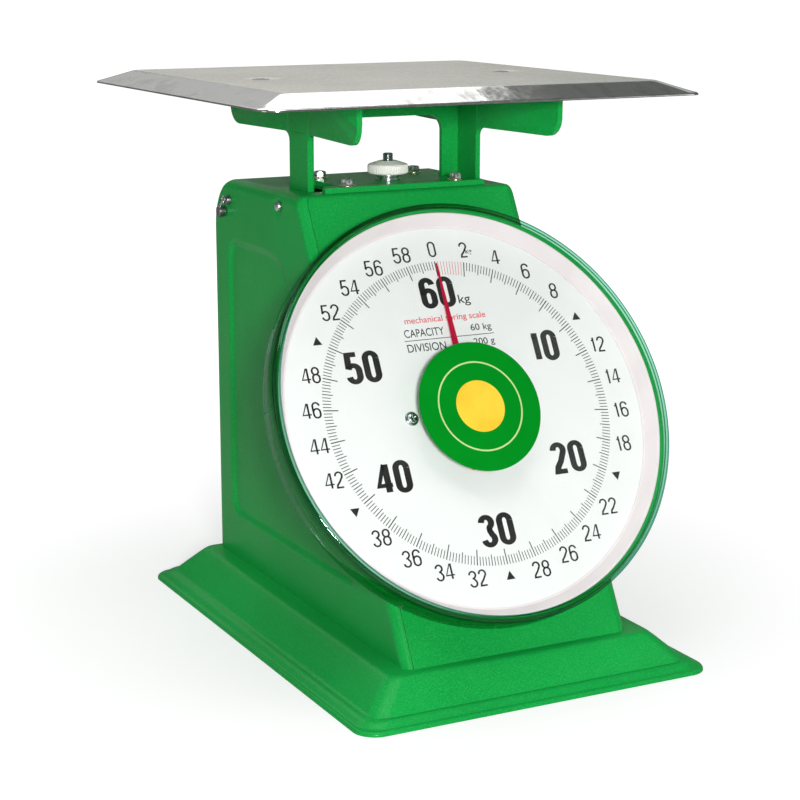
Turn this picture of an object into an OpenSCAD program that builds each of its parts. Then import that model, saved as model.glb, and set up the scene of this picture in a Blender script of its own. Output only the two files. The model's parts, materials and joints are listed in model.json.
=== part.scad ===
// Mechanical dial platform scale, 60 kg, pressed-steel body.
// The front faces -Y, +Z is up, and the origin lies on the bench at the middle of the outline.

/* [Platter] */
// Side of the square steel platter
platter_size = 340; // [320:1:350]
// Height of the platter's flat top above the bench
platter_top = 413; // [408:1:418]
// How far the platter's rim turns down
platter_drop = 10; // [8:1:14]
// Width of the platter's sloping skirt
platter_skirt = 23; // [18:1:28]
// Sheet thickness of the platter
platter_sheet = 1.2; // [1:0.1:1.5]
// Platter centre along Y
platter_y = 37; // [35:1:38]

/* [Base pan] */
// Width of the base pan
base_w = 278; // [276:1:284]
// Front edge of the base pan
base_front = -207; // [-209:1:-205]
// Rear edge of the base pan
base_rear = 189; // [187:1:192]
// Height of the base pan
base_h = 27.8; // [27:0.1:28.5]
// Corner radius of the base pan's rim
base_corner = 19; // [14:1:22]

/* [Casing] */
// Width of the casing
body_w = 180; // [178:1:184]
// Height of the casing's top
body_top = 331.3; // [330:0.1:332]
// Lower front edge of the casing
body_front = -171.2; // [-172:0.1:-170.5]
// Rear face of the casing
body_rear = 158; // [157:0.5:159]
// Angle that the front leans back
lean = 29; // [28.5:0.1:29.5]
// Sheet thickness of the casing
sheet = 1.5; // [1.2:0.1:1.8]

/* [Dial] */
// Distance of the dial centre up the leaning front
dial_up = 170.6; // [169:0.1:172]
// Outer radius of the clear cover
lens_r = 154.9; // [154:0.1:156]
// Depth of the dial housing in front of the casing
dial_depth = 27.6; // [27:0.1:28.5]
// Visible radius of the white dial
dial_r = 141; // [140:0.5:141.5]
// Radius of the outer ends of the dial's tick marks
tick_r = 112.3; // [110:0.1:114]

/* [Motion] */
// Platform travel at full load
travel = 30; // [26:1:30]
// Length of the two guide levers between pivots
lever_l = 95.9; // [94:0.1:96]
// Thread pitch of the zero stud
stud_pitch = 1.25; // [1:0.05:1.25]

/* [Hidden] */
$fn = 96;
hull_fn = 32;
joint_gap = 0.3;
run_gap = 0.05;
eps = 0.01;

green = [0.05, 0.62, 0.25];
steel = [0.78, 0.78, 0.76];
zinc = [0.72, 0.73, 0.74];
white = [0.94, 0.95, 0.94];
red = [0.75, 0.02, 0.12];
brass = [0.8, 0.66, 0.32];
clear = [0.8, 0.9, 0.85, 0.35];

// Mechanism line: pillars, springs and stud share it
mid_y = 34;
pillar_x = 72;
pillar_t = 4;
pillar_front = 18;
pillar_rear = 50;
pillar_foot = 92;
flange_w = 18;
platter_under = platter_top - platter_sheet;
platter_edge = platter_top - platter_drop;
arm_bottom = 373;
arm_splay = 5.4;

// Dial position on the leaning front
dial_y = body_front + dial_up * sin(lean);
dial_z = base_h + dial_up * cos(lean);
dial_face = 10.6;
dial_sheet = 0.8;

// Top bridge and zero adjuster
bridge_t = 4;
bridge_top = body_top + bridge_t;
knob_r = 15.3;
knob_h = 9.8;
bush_h = 4.5;
bush_r = 9.4;
stud_r = 4;
stud_top = 355.4;
stud_y = mid_y - 3;
knob_z = bridge_top + bush_h + joint_gap;

// Springs and hanger
spring_x = 22;
coil_r = 11.2;
wire_r = 2.2;
spring_top = 290;
spring_foot = 146;
spring_turns = 17;
plug_r = coil_r - wire_r - 0.2;
hanger_z = 296;
hanger_h = 12;
yoke_z = 118;
yoke_h = 18;

// Parallel guide levers
lever_rest = 9;
lever_pivot_y = mid_y + lever_l * cos(lever_rest) + 0.6;
lever_drop = lever_l * sin(lever_rest);
upper_eye_z = 262;
lower_eye_z = 104;
lever_x = 47;
lever_t = 3;
lever_eye_r = 5.2;
guide_pin_r = 3;
pivot_pin_r = 4;

// Movement: pinion, rack and bearing plates, measured along the dial axis
pinion_teeth = 18;
rack_travel = travel / cos(lean);
pinion_r = rack_travel / (2 * PI);
gear_m = 2 * pinion_r / pinion_teeth;
gear_w = 8;
gear_at = -26;
rack_pin_down = 45;
rack_x = pinion_r + 4;
shaft_r = 2.5;
plate_t = 2.5;
front_plate_at = -4;
rear_plate_at = -38;
opening_r = 20;
slot_half = 3;
rack_pin_r = 2.6;

// ---------- shared shapes ----------

// Rectangle with true round corners, centred
module round_rect(w, d, r) {
    square([w - 2 * r, d], center = true);
    square([w, d - 2 * r], center = true);
    for (sx = [-1, 1], sy = [-1, 1])
        translate([sx * (w / 2 - r), sy * (d / 2 - r)])
            circle(r = r);
}

// Moves into dial coordinates: X across, Y up the leaning front, Z out of the casing's front face
module at_dial() {
    translate([0, dial_y, dial_z])
        rotate([90 - lean, 0, 0])
            children();
}

// Round ring or disc between two heights
module ring(r_out, r_in, z0, z1) {
    translate([0, 0, z0])
        difference() {
            cylinder(r = r_out, h = z1 - z0);
            if (r_in > 0)
                translate([0, 0, -1])
                    cylinder(r = r_in, h = z1 - z0 + 2);
        }
}

// Rod along X between two ends
module rod_x(r, x0, x1) {
    translate([x0, 0, 0])
        rotate([0, 90, 0])
            cylinder(r = r, h = x1 - x0);
}

// Hexagon head with a shank below it, head seat at z = 0
module hex_screw(head_r, head_h, shank_r, shank_l) {
    cylinder(r = head_r, h = head_h, $fn = 6);
    translate([0, 0, -shank_l])
        cylinder(r = shank_r, h = shank_l);
}

// Cross-recessed pan head with a shank below it, head seat at z = 0
module pan_screw(head_r, head_h, shank_r, shank_l) {
    difference() {
        cylinder(r = head_r, h = head_h);
        for (a = [0, 90])
            rotate([0, 0, a])
                translate([0, 0, head_h])
                    cube([head_r * 1.2, head_r * 0.24, head_h], center = true);
    }
    translate([0, 0, -shank_l])
        cylinder(r = shank_r, h = shank_l);
}

// ---------- base pan ----------

base_mid = (base_front + base_rear) / 2;
base_d = base_rear - base_front;
rim_h = 3.2;
crease_z = 9;
crease_in = 12;
deck_in_x = 35;
deck_in_y = 28;
pan_sheet = 1.4;
base_screw_x = 76;
base_screw_ys = [-148, 150];

// Thin rounded slab of the pan's outline, pulled in by the given margins
module pan_level(z, in_x, in_y, grow) {
    translate([0, base_mid, z])
        linear_extrude(eps)
            round_rect(base_w - 2 * in_x + 2 * grow, base_d - 2 * in_y + 2 * grow,
                base_corner - (in_x + in_y) / 7, $fn = hull_fn);
}

// Outer or inner form of the pan; drop lowers it and grow widens it
module pan_form(drop, grow) {
    translate([0, base_mid, -eps])
        linear_extrude(rim_h - drop + 2 * eps)
            round_rect(base_w + 2 * grow, base_d + 2 * grow, base_corner, $fn = hull_fn);
    hull() {
        pan_level(rim_h - drop, 0.8, 0.8, grow);
        pan_level(crease_z - drop, crease_in, crease_in, grow);
    }
    hull() {
        pan_level(crease_z - drop, crease_in, crease_in, grow);
        pan_level(base_h - drop - eps, deck_in_x, deck_in_y, grow);
    }
}

module base_pan() {
    color(green)
        difference() {
            intersection() {
                pan_form(0, 0);
                translate([-base_w, -base_d, 0])
                    cube([2 * base_w, 2 * base_d, base_h]);
            }
            pan_form(pan_sheet, -pan_sheet);
            for (sx = [-1, 1], y = base_screw_ys)
                translate([sx * base_screw_x, y, 0])
                    cylinder(r = 2.6, h = base_h + 1);
        }
}

module base_screws() {
    color(zinc)
        for (sx = [-1, 1], y = base_screw_ys)
            translate([sx * base_screw_x, y, base_h - pan_sheet])
                mirror([0, 0, 1])
                    pan_screw(5, 3, 2.5, 9);
}

module base_nuts() {
    color(zinc)
        for (sx = [-1, 1], y = base_screw_ys)
            translate([sx * base_screw_x, y, base_h + sheet])
                difference() {
                    cylinder(r = 4.6, h = 4, $fn = 6);
                    translate([0, 0, -1])
                        cylinder(r = 2.5, h = 6);
                }
}

// ---------- casing ----------

corner_r = 8;
rear_round = 40;
top_round = 5;
foot_flange = 10;
window_w = 150;
window_top = 282;
slot_gap = 2.5;
recess_depth = 1.2;
side_screw_y = 32.3;
side_screw_z = 320.3;
seal_y = 125.4;
seal_z = 314.8;

// Where the leaning front face stands at a given height
function lean_y(z) = body_front + (z - base_h) * tan(lean);

// Side outline of the casing in Y and Z, inset by t all round
module side_outline(t) {
    z0 = base_h - (t > 0 ? 1 : 0);
    y1 = body_rear - t;
    z1 = body_top - t;
    rr = rear_round - t;
    fr = top_round - t / 2;
    front_c = body_front + (t + fr + (z1 - fr - base_h) * sin(lean)) / cos(lean);
    foot = body_front + (t + (z0 - base_h) * sin(lean)) / cos(lean);
    polygon([
        [foot, z0],
        [y1, z0],
        [y1, z1 - rr],
        [y1 - rr, z1],
        [front_c, z1],
        [front_c - fr * cos(lean), z1 - fr + fr * sin(lean)]
    ]);
    translate([y1 - rr, z1 - rr])
        circle(r = rr);
    translate([front_c, z1 - fr])
        circle(r = fr);
}

// Solid body of the casing's outer form, inset by t
module casing_form(t) {
    intersection() {
        translate([-body_w, 0, 0])
            rotate([90, 0, 90])
                linear_extrude(2 * body_w)
                    side_outline(t);
        at_dial()
            translate([0, 300, -200 - t])
                rotate([90, 0, 0])
                    linear_extrude(600)
                        round_rect(body_w - 2 * t, 400, corner_r - t);
        translate([0, 400, body_top - t - 200])
            rotate([90, 0, 0])
                linear_extrude(800)
                    round_rect(body_w - 2 * t, 400, corner_r - t);
        translate([0, body_rear - t - 200, 0])
            linear_extrude(400)
                round_rect(body_w - 2 * t, 400, corner_r - t);
    }
}

// Outline of the pressed side panel in Y and Z, widened by grow
module recess_outline(grow) {
    low = 62 - grow;
    high = 286 + grow;
    rear = 131 + grow;
    inset = 50 - grow / cos(lean);
    polygon([
        [lean_y(low) + inset, low],
        [rear, low],
        [rear, high],
        [lean_y(high - 16) + inset + 22, high],
        [lean_y(high - 16) + inset, high - 16]
    ]);
}

// Shallow pressed panel on one side of the casing
module side_recess(side) {
    translate([side * (body_w / 2 - recess_depth / 2 + eps), 0, 0])
        rotate([90, 0, 90])
            linear_extrude(recess_depth + eps, center = true)
                recess_outline(0);
}

// Metal left standing behind the pressed panel, so that the wall keeps its thickness
module recess_backing(side) {
    translate([side * (body_w / 2 - sheet - recess_depth / 2), 0, 0])
        rotate([90, 0, 90])
            linear_extrude(recess_depth + eps, center = true)
                recess_outline(2);
}

// Inward flanges along the casing's foot
module foot_flanges() {
    inner_x = body_w / 2 - sheet - 2 * foot_flange;
    difference() {
        translate([-body_w, -2 * base_d, 0])
            cube([2 * body_w, 4 * base_d, base_h + sheet]);
        translate([-inner_x, body_front + 4 * foot_flange, 0])
            cube([2 * inner_x, 260, base_h + 2 * sheet]);
    }
}

module casing() {
    color(green)
        difference() {
            casing_form(0);
            difference() {
                casing_form(sheet);
                for (side = [-1, 1])
                    recess_backing(side);
                foot_flanges();
            }
            for (side = [-1, 1])
                side_recess(side);
            rear_window();
            pillar_slots(body_top - 3 * sheet, 4 * sheet);
            translate([0, stud_y, body_top - 2 * sheet])
                cylinder(r = 8, h = 3 * sheet);
            for (p = bridge_holes)
                translate([p[0], p[1], body_top - 2 * sheet])
                    cylinder(r = 2.6, h = 3 * sheet);
            at_dial() {
                translate([0, 0, -3 * sheet])
                    cylinder(r = opening_r, h = 4 * sheet);
                for (p = drum_holes)
                    translate([p[0], p[1], -3 * sheet])
                        cylinder(r = 2.1, h = 4 * sheet);
                for (p = plate_holes)
                    translate([p[0], p[1], -3 * sheet])
                        cylinder(r = 2.1, h = 4 * sheet);
            }
            for (sx = [-1, 1], y = base_screw_ys)
                translate([sx * base_screw_x, y, base_h - 1])
                    cylinder(r = 2.6, h = sheet + 2);
            translate([0, side_screw_y, side_screw_z])
                rod_x(2.1, -body_w, body_w);
            translate([0, seal_y, seal_z])
                rod_x(2.1, -body_w, 0);
            for (p = back_holes)
                translate([p[0], body_rear + 1, p[1]])
                    rotate([90, 0, 0])
                        cylinder(r = 2.1, h = sheet + 2);
        }
}

// Service window in the rear wall
module rear_window() {
    translate([-window_w / 2, body_rear - 2 * sheet, base_h + 16])
        cube([window_w, 4 * sheet, window_top - base_h - 16]);
}

// Slots in the top that the two pillars pass through
module pillar_slots(z, h) {
    for (sx = [-1, 1])
        translate([sx * (pillar_x + slot_gap - (flange_w + 2 * slot_gap) / 2),
                (pillar_front + pillar_rear) / 2, z + h / 2])
            cube([flange_w + 2 * slot_gap, pillar_rear - pillar_front + 2 * slot_gap, h], center = true);
}

back_holes = [for (sx = [-1, 1], z = [52, 165, 278]) [sx * 81, z]];
back_t = 1.2;

module back_cover() {
    color(green)
        difference() {
            translate([0, body_rear + back_t, (base_h + 12 + window_top + 8) / 2])
                rotate([90, 0, 0])
                    linear_extrude(back_t)
                        round_rect(body_w - 6, window_top - base_h - 4, 6);
            for (p = back_holes)
                translate([p[0], body_rear + 2, p[1]])
                    rotate([90, 0, 0])
                        cylinder(r = 2.1, h = 4);
            for (k = [0:5])
                translate([0, body_rear + 2, 226 + 8 * k])
                    rotate([90, 0, 0])
                        linear_extrude(4)
                            round_rect(70, 3, 1.49);
        }
}

module back_cover_screws() {
    color(zinc)
        for (p = back_holes)
            translate([p[0], body_rear + back_t, p[1]])
                rotate([-90, 0, 0])
                    pan_screw(3.8, 2.2, 2, 8);
}

module side_screws() {
    color(zinc)
        for (side = [-1, 1])
            translate([side * body_w / 2, side_screw_y, side_screw_z])
                rotate([0, side * 90, 0])
                    pan_screw(3.7, 2, 2, 7);
}

// ---------- top bridge and zero adjuster ----------

bridge_holes = [[-45, 8], [45, 8], [-40, 66], [40, 66]];
washer_t = 1.2;

module top_bridge() {
    color(green)
        difference() {
            translate([0, 0, body_top])
                linear_extrude(bridge_t)
                    polygon([
                        [-66, 1], [66, 1], [66, 6], [60, 13], [50, 13], [50, 54], [58, 54], [58, 80], [50, 88],
                        [-50, 88], [-58, 80], [-58, 54], [-50, 54], [-50, 13], [-60, 13], [-66, 6]
                    ]);
            translate([0, stud_y, body_top - 1])
                cylinder(r = 7, h = bridge_t + 2);
            for (p = bridge_holes)
                translate([p[0], p[1], body_top - 1])
                    cylinder(r = 2.6, h = bridge_t + 2);
        }
}

module bridge_washers() {
    color(zinc)
        for (p = bridge_holes)
            translate([p[0], p[1], 0])
                ring(6.2, 2.6, bridge_top, bridge_top + washer_t);
}

module bridge_screws() {
    color(zinc)
        for (p = bridge_holes)
            translate([p[0], p[1], bridge_top + washer_t])
                hex_screw(4.7, 4, 2.5, 14);
}

module knob_bush() {
    color(zinc)
        translate([0, stud_y, 0]) {
            ring(7, stud_r + run_gap, body_top - 4, bridge_top);
            ring(bush_r, stud_r + run_gap, bridge_top, bridge_top + bush_h);
        }
}

module zero_knob() {
    color(white)
        translate([0, stud_y, knob_z])
            rotate_extrude()
                polygon([
                    [stud_r + run_gap, 0],
                    [knob_r - 1, 0],
                    [knob_r, 1],
                    [knob_r, 6.6],
                    [knob_r - 0.8, 7.4],
                    [7, knob_h],
                    [stud_r + run_gap, knob_h]
                ]);
}

module zero_stud() {
    color(zinc)
        translate([0, stud_y, hanger_z])
            cylinder(r = stud_r, h = stud_top - hanger_z);
}

// ---------- springs and hanger ----------

module spring_hanger() {
    color(zinc)
        difference() {
            translate([0, mid_y, hanger_z + hanger_h / 2])
                cube([76, 20, hanger_h], center = true);
            translate([0, stud_y, hanger_z - 1])
                cylinder(r = stud_r, h = hanger_h + 2);
        }
}

module upper_spring_plugs() {
    color(zinc)
        for (sx = [-1, 1])
            translate([sx * spring_x, mid_y, spring_top - 14])
                cylinder(r = plug_r, h = hanger_z - spring_top + 14);
}

module lower_spring_plugs() {
    color(zinc)
        for (sx = [-1, 1])
            translate([sx * spring_x, mid_y, yoke_z + yoke_h])
                cylinder(r = plug_r, h = spring_foot + 14 - yoke_z - yoke_h);
}

spring_steps = 16;
spring_sides = 6;
spring_rings = spring_turns * spring_steps;

// One ring of points around the wire at step i of the helix
function wire_ring(i) = [
    for (k = [0:spring_sides - 1])
        let (
            turn = 360 * i / spring_steps,
            around = 360 * k / spring_sides,
            reach = coil_r + wire_r * cos(around),
            height = wire_r + (spring_top - spring_foot - 2 * wire_r) * i / spring_rings
        )
        [reach * cos(turn), reach * sin(turn), spring_foot + height + wire_r * sin(around)]
];

module spring(x) {
    points = [for (i = [0:spring_rings]) each wire_ring(i)];
    last = spring_rings * spring_sides;
    walls = [
        for (i = [0:spring_rings - 1], k = [0:spring_sides - 1])
            let (
                a = i * spring_sides + k,
                b = i * spring_sides + (k + 1) % spring_sides
            )
            [a, a + spring_sides, b + spring_sides, b]
    ];
    start_cap = [[for (k = [0:spring_sides - 1]) k]];
    end_cap = [[for (k = [0:spring_sides - 1]) last + spring_sides - 1 - k]];
    translate([x, mid_y, 0])
        polyhedron(points = points, faces = concat(walls, start_cap, end_cap), convexity = 10);
}

module left_spring() {
    color(steel)
        spring(-spring_x);
}

module right_spring() {
    color(steel)
        spring(spring_x);
}

// ---------- moving platform ----------

inner_x = pillar_x - pillar_t;

module lower_yoke() {
    color(green)
        translate([-inner_x, mid_y - 9, yoke_z])
            cube([2 * inner_x, 18, yoke_h]);
}

front_arm = 102;
rear_arm = 92;
arm_corner = 14;
arm_fillet = 7;
ear_x = 114;
ear_w = 30;
screw_x = 100;
arm_front = pillar_front - front_arm * cos(arm_splay);
arm_rear = pillar_rear + rear_arm * cos(arm_splay);
skew = pillar_t * sin(arm_splay);
fold_in = pillar_t * tan(arm_splay / 2);

// Plan of the pillar's sheet: web with both arms folded outwards
module support_plan() {
    thick = pillar_t * cos(arm_splay);
    front_x = pillar_x + front_arm * sin(arm_splay);
    rear_x = pillar_x + rear_arm * sin(arm_splay);
    polygon([
        [inner_x, pillar_front - fold_in],
        [front_x - thick, arm_front - skew],
        [front_x, arm_front],
        [pillar_x, pillar_front],
        [pillar_x, pillar_rear],
        [rear_x, arm_rear],
        [rear_x - thick, arm_rear + skew],
        [inner_x, pillar_rear + fold_in]
    ]);
}

// Side outline in Y and Z: pillar below, arms above, rounded ends and filleted corners
module support_side() {
    difference() {
        union() {
            translate([pillar_front, pillar_foot])
                square([pillar_rear - pillar_front, platter_under - pillar_foot]);
            translate([arm_front - 1, arm_bottom + arm_corner])
                square([arm_rear - arm_front + 2, platter_under - arm_bottom - arm_corner]);
            translate([arm_front + arm_corner, arm_bottom])
                square([arm_rear - arm_front - 2 * arm_corner, arm_corner + 1]);
            for (y = [arm_front + arm_corner, arm_rear - arm_corner])
                translate([y, arm_bottom + arm_corner])
                    circle(r = arm_corner);
            translate([pillar_front - arm_fillet, arm_bottom - arm_fillet])
                square([pillar_rear - pillar_front + 2 * arm_fillet, arm_fillet]);
        }
        for (y = [pillar_front - arm_fillet, pillar_rear + arm_fillet])
            translate([y, arm_bottom - arm_fillet])
                circle(r = arm_fillet);
    }
}

// Right-hand support, mirrored for the left
module support() {
    difference() {
        union() {
            intersection() {
                translate([0, 0, pillar_foot])
                    linear_extrude(platter_under - pillar_foot)
                        support_plan();
                rotate([90, 0, 90])
                    linear_extrude(2 * pillar_x)
                        support_side();
            }
            translate([pillar_x - flange_w, pillar_rear - pillar_t, pillar_foot])
                cube([flange_w - 1, pillar_t, beam_bottom - pillar_foot]);
            translate([pillar_x - 1, platter_y - ear_w / 2, platter_under - pillar_t])
                cube([ear_x - pillar_x + 1, ear_w, pillar_t]);
        }
        translate([screw_x, platter_y, platter_under - 2 * pillar_t])
            cylinder(r = 3.1, h = 3 * pillar_t);
        translate([screw_x, platter_y, platter_under - dimple_deep])
            cylinder(r = dimple_r, h = pillar_t);
        for (z = [upper_eye_z, lower_eye_z])
            translate([0, mid_y, z])
                rod_x(guide_pin_r, inner_x - 1, pillar_x + 1);
    }
}

module left_support() {
    color(green)
        mirror([1, 0, 0])
            support();
}

module right_support() {
    color(green)
        support();
}

beam_bottom = 381;
gusset_r = 12;

module cross_beam() {
    leg_x = pillar_x - flange_w;
    color(green)
        translate([0, pillar_rear, 0])
            rotate([90, 0, 0])
                linear_extrude(pillar_t)
                    difference() {
                        union() {
                            translate([-inner_x, beam_bottom])
                                square([2 * inner_x, platter_under - beam_bottom]);
                            translate([-leg_x, beam_bottom - gusset_r])
                                square([2 * leg_x, gusset_r]);
                        }
                        translate([-leg_x + gusset_r, beam_bottom - gusset_r - 1])
                            square([2 * (leg_x - gusset_r), gusset_r + 1]);
                        for (sx = [-1, 1])
                            translate([sx * (leg_x - gusset_r), beam_bottom - gusset_r])
                                circle(r = gusset_r);
                    }
}

platter_corner = 14;

// Thin rounded slab of the platter's outline
module platter_level(z, inset, grow) {
    translate([0, platter_y, z])
        linear_extrude(eps)
            round_rect(platter_size - 2 * inset + 2 * grow, platter_size - 2 * inset + 2 * grow,
                platter_corner - inset / 4, $fn = hull_fn);
}

lip_h = 2.6;

// Outer or inner form of the platter
module platter_form(drop, grow) {
    translate([0, platter_y, platter_edge - eps])
        linear_extrude(lip_h - drop + 2 * eps)
            round_rect(platter_size + 2 * grow, platter_size + 2 * grow, platter_corner, $fn = hull_fn);
    hull() {
        platter_level(platter_edge + lip_h - drop, 0, grow);
        platter_level(platter_top - drop - eps, platter_skirt, grow);
    }
}

dimple_r = 10.5;
dimple_deep = 1.4;

module platter() {
    color(steel)
        difference() {
            union() {
                difference() {
                    intersection() {
                        platter_form(0, 0);
                        translate([-platter_size, -platter_size, platter_edge])
                            cube([2 * platter_size, 2 * platter_size, platter_drop]);
                    }
                    platter_form(platter_sheet, -platter_sheet);
                }
                for (sx = [-1, 1])
                    translate([sx * screw_x, platter_y, platter_under - dimple_deep])
                        cylinder(r = dimple_r, h = dimple_deep + platter_sheet / 2);
            }
            for (sx = [-1, 1])
                translate([sx * screw_x, platter_y, 0]) {
                    translate([0, 0, platter_top - dimple_deep])
                        cylinder(r = dimple_r - platter_sheet, h = dimple_deep + 1);
                    cylinder(r = 3.1, h = platter_top + 1);
                }
        }
}

module platter_screws() {
    color(zinc)
        for (sx = [-1, 1])
            translate([sx * screw_x, platter_y, platter_top - dimple_deep])
                pan_screw(6.5, 1.3, 3, 12);
}

module platter_nuts() {
    color(zinc)
        for (sx = [-1, 1])
            translate([sx * screw_x, platter_y, platter_under - pillar_t - 5])
                difference() {
                    cylinder(r = 5.6, h = 5, $fn = 6);
                    translate([0, 0, -1])
                        cylinder(r = 3, h = 7);
                }
}

pin_end = lever_x - lever_t;

module guide_pins() {
    color(zinc)
        for (side = [-1, 1], z = [upper_eye_z, lower_eye_z])
            translate([0, mid_y, z])
                rod_x(guide_pin_r, side > 0 ? pin_end : -pillar_x, side > 0 ? pillar_x : -pin_end);
}

// Arm on the yoke with a level slot that drives the rack
rack_pin_y = dial_y - rack_pin_down * sin(lean) - gear_at * cos(lean);
rack_pin_z = dial_z - rack_pin_down * cos(lean) + gear_at * sin(lean);
rack_shift = rack_travel * sin(lean);
drive_x = rack_x + 4.6;
drive_front = rack_pin_y - rack_shift - 5.5;

module drive_arm() {
    color(zinc)
        difference() {
            translate([drive_x, drive_front, rack_pin_z - 7])
                cube([pillar_t, mid_y - 9 - drive_front, 14]);
            translate([drive_x - 1, rack_pin_y - rack_shift - 3.5, rack_pin_z - slot_half])
                cube([pillar_t + 2, rack_shift + 7, 2 * slot_half]);
        }
}

// ---------- guide levers and posts ----------

post_x = 74;

// Lever frame: two side arms with front eyes and a cross tube on the pivot pin
module lever(eye_z) {
    pivot_z = eye_z - lever_drop;
    translate([0, lever_pivot_y, pivot_z])
        rotate([-lever_rest, 0, 0])
            difference() {
                union() {
                    for (sx = [-1, 1])
                        translate([sx * lever_x, 0, 0]) {
                            translate([-lever_t / 2, -lever_l, -6])
                                cube([lever_t, lever_l, 12]);
                            translate([0, -lever_l, 0])
                                rod_x(9, -lever_t / 2, lever_t / 2);
                        }
                    rod_x(8, joint_gap - post_x, post_x - joint_gap);
                }
                rod_x(pivot_pin_r + run_gap, -body_w, body_w);
                translate([0, -lever_l, 0])
                    rod_x(lever_eye_r, -pillar_x, pillar_x);
            }
}

module upper_lever() {
    color(zinc)
        lever(upper_eye_z);
}

module lower_lever() {
    color(zinc)
        lever(lower_eye_z);
}

module lever_pin(eye_z) {
    translate([0, lever_pivot_y, eye_z - lever_drop])
        rod_x(pivot_pin_r, -post_x - 6, post_x + 6);
}

module upper_lever_pin() {
    color(zinc)
        lever_pin(upper_eye_z);
}

module lower_lever_pin() {
    color(zinc)
        lever_pin(lower_eye_z);
}

// Angle-section post that carries the lever pins, from the foot flange to the casing's top
module post(side) {
    x0 = side > 0 ? post_x : -post_x - 3;
    front = lever_pivot_y - 14;
    foot = base_h + sheet;
    height = body_top - sheet - foot - 10;
    difference() {
        union() {
            translate([x0, front, foot])
                cube([3, 28, height]);
            translate([side > 0 ? x0 - 9 : x0 + 3, front + 25, foot])
                cube([9, 3, height]);
        }
        for (z = [upper_eye_z, lower_eye_z])
            translate([0, lever_pivot_y, z - lever_drop])
                rod_x(pivot_pin_r, -body_w / 2, body_w / 2);
    }
}

stop_r = 6;

// Rubber buffers that the pillars reach at the end of the travel
module travel_stops() {
    color([0.08, 0.08, 0.08])
        for (sx = [-1, 1])
            translate([sx * (pillar_x - flange_w + stop_r + 1), pillar_rear - pillar_t, base_h])
                cylinder(r = stop_r, h = pillar_foot - travel - joint_gap - base_h);
}

module left_post() {
    color(zinc)
        post(-1);
}

module right_post() {
    color(zinc)
        post(1);
}

// ---------- dial housing ----------

drum_r = 152;
drum_t = 1.2;
bezel_seat = 20.6;
drum_holes = [for (a = [0:90:270]) [70 * cos(a), 70 * sin(a)]];
dial_screw_x = 46.5;

module dial_drum() {
    color(green)
        at_dial()
            difference() {
                rotate_extrude()
                    polygon([
                        [opening_r, 0],
                        [drum_r - 3, 0],
                        [drum_r, 3],
                        [drum_r, 11],
                        [drum_r + 0.6, 11.4],
                        [drum_r + 0.6, 12.6],
                        [drum_r, 13],
                        [drum_r, bezel_seat],
                        [drum_r - drum_t, bezel_seat],
                        [drum_r - drum_t, 3.4],
                        [drum_r - 3.4, drum_t],
                        [opening_r, drum_t]
                    ]);
                for (p = drum_holes)
                    translate([p[0], p[1], -1])
                        cylinder(r = 2.1, h = 4);
            }
}

module drum_screws() {
    color(zinc)
        at_dial()
            for (p = drum_holes)
                translate([p[0], p[1], drum_t])
                    pan_screw(3.8, 2.2, 2, 8);
}

module dial_standoffs() {
    color(zinc)
        at_dial()
            for (sx = [-1, 1])
                translate([sx * dial_screw_x, 1, 0])
                    ring(5, 1.9, drum_t, dial_face - dial_sheet);
}

module dial_plate() {
    color(white)
        at_dial()
            difference() {
                ring(dial_r + 2, 5, dial_face - dial_sheet, dial_face);
                for (sx = [-1, 1])
                    translate([sx * dial_screw_x, 1, 0])
                        cylinder(r = 2.1, h = dial_depth);
            }
}

module dial_washers() {
    color(zinc)
        at_dial()
            for (sx = [-1, 1])
                translate([sx * dial_screw_x, 1, 0])
                    ring(5.4, 2, dial_face, dial_face + 0.6);
}

module dial_screws() {
    color(zinc)
        at_dial()
            for (sx = [-1, 1])
                translate([sx * dial_screw_x, 1, dial_face + 0.6])
                    pan_screw(3.7, 1.8, 1.9, 7);
}

module bezel_ring() {
    color(white)
        at_dial()
            rotate_extrude()
                polygon([
                    [dial_r, dial_face],
                    [dial_r + 2, dial_face],
                    [dial_r + 9.2, bezel_seat],
                    [drum_r + 0.4, bezel_seat],
                    [drum_r + 0.4, bezel_seat + 1.2],
                    [dial_r + 8.6, bezel_seat + 1.2],
                    [dial_r + 1.4, dial_face + 1.2],
                    [dial_r, dial_face + 1.2]
                ]);
}

lens_t = 2;
lens_back = 5.6;
lens_round = 3;

tab_turn = 6.5;

module lens_cover() {
    inner_r = lens_r - lens_t;
    color(clear)
        at_dial() {
            difference() {
                rotate_extrude()
                    difference() {
                        union() {
                            translate([0, lens_back])
                                square([lens_r, dial_depth - lens_round - lens_back]);
                            translate([0, lens_back])
                                square([lens_r - lens_round, dial_depth - lens_back]);
                            translate([lens_r - lens_round, dial_depth - lens_round])
                                circle(r = lens_round);
                        }
                        translate([-1, lens_back - 1])
                            square([inner_r + 1, dial_depth - lens_t - lens_back + 1]);
                    }
                for (a = [0:90:270], off = [-tab_turn, tab_turn])
                    rotate([0, 0, a + off])
                        translate([inner_r - 2, -0.6, lens_back - 1])
                            cube([lens_t + 4, 1.2, 9]);
            }
            snap_lugs(inner_r);
        }
}

// Small inward lugs on the four tabs, which catch behind the housing's bead
module snap_lugs(inner_r) {
    for (a = [0:90:270])
        rotate([0, 0, a])
            intersection() {
                rotate_extrude()
                    polygon([
                        [inner_r - 0.7, 6.4],
                        [inner_r + 0.5, 6.4],
                        [inner_r + 0.5, 10.8],
                        [inner_r - 0.7, 10.2]
                    ]);
                translate([inner_r - 2, -12, 6])
                    cube([4, 24, 6]);
            }
}

label_r = 47.6;

module lens_label() {
    color(green)
        at_dial()
            ring(label_r, 0, dial_depth, dial_depth + 0.3);
}

// ---------- movement ----------

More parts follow.
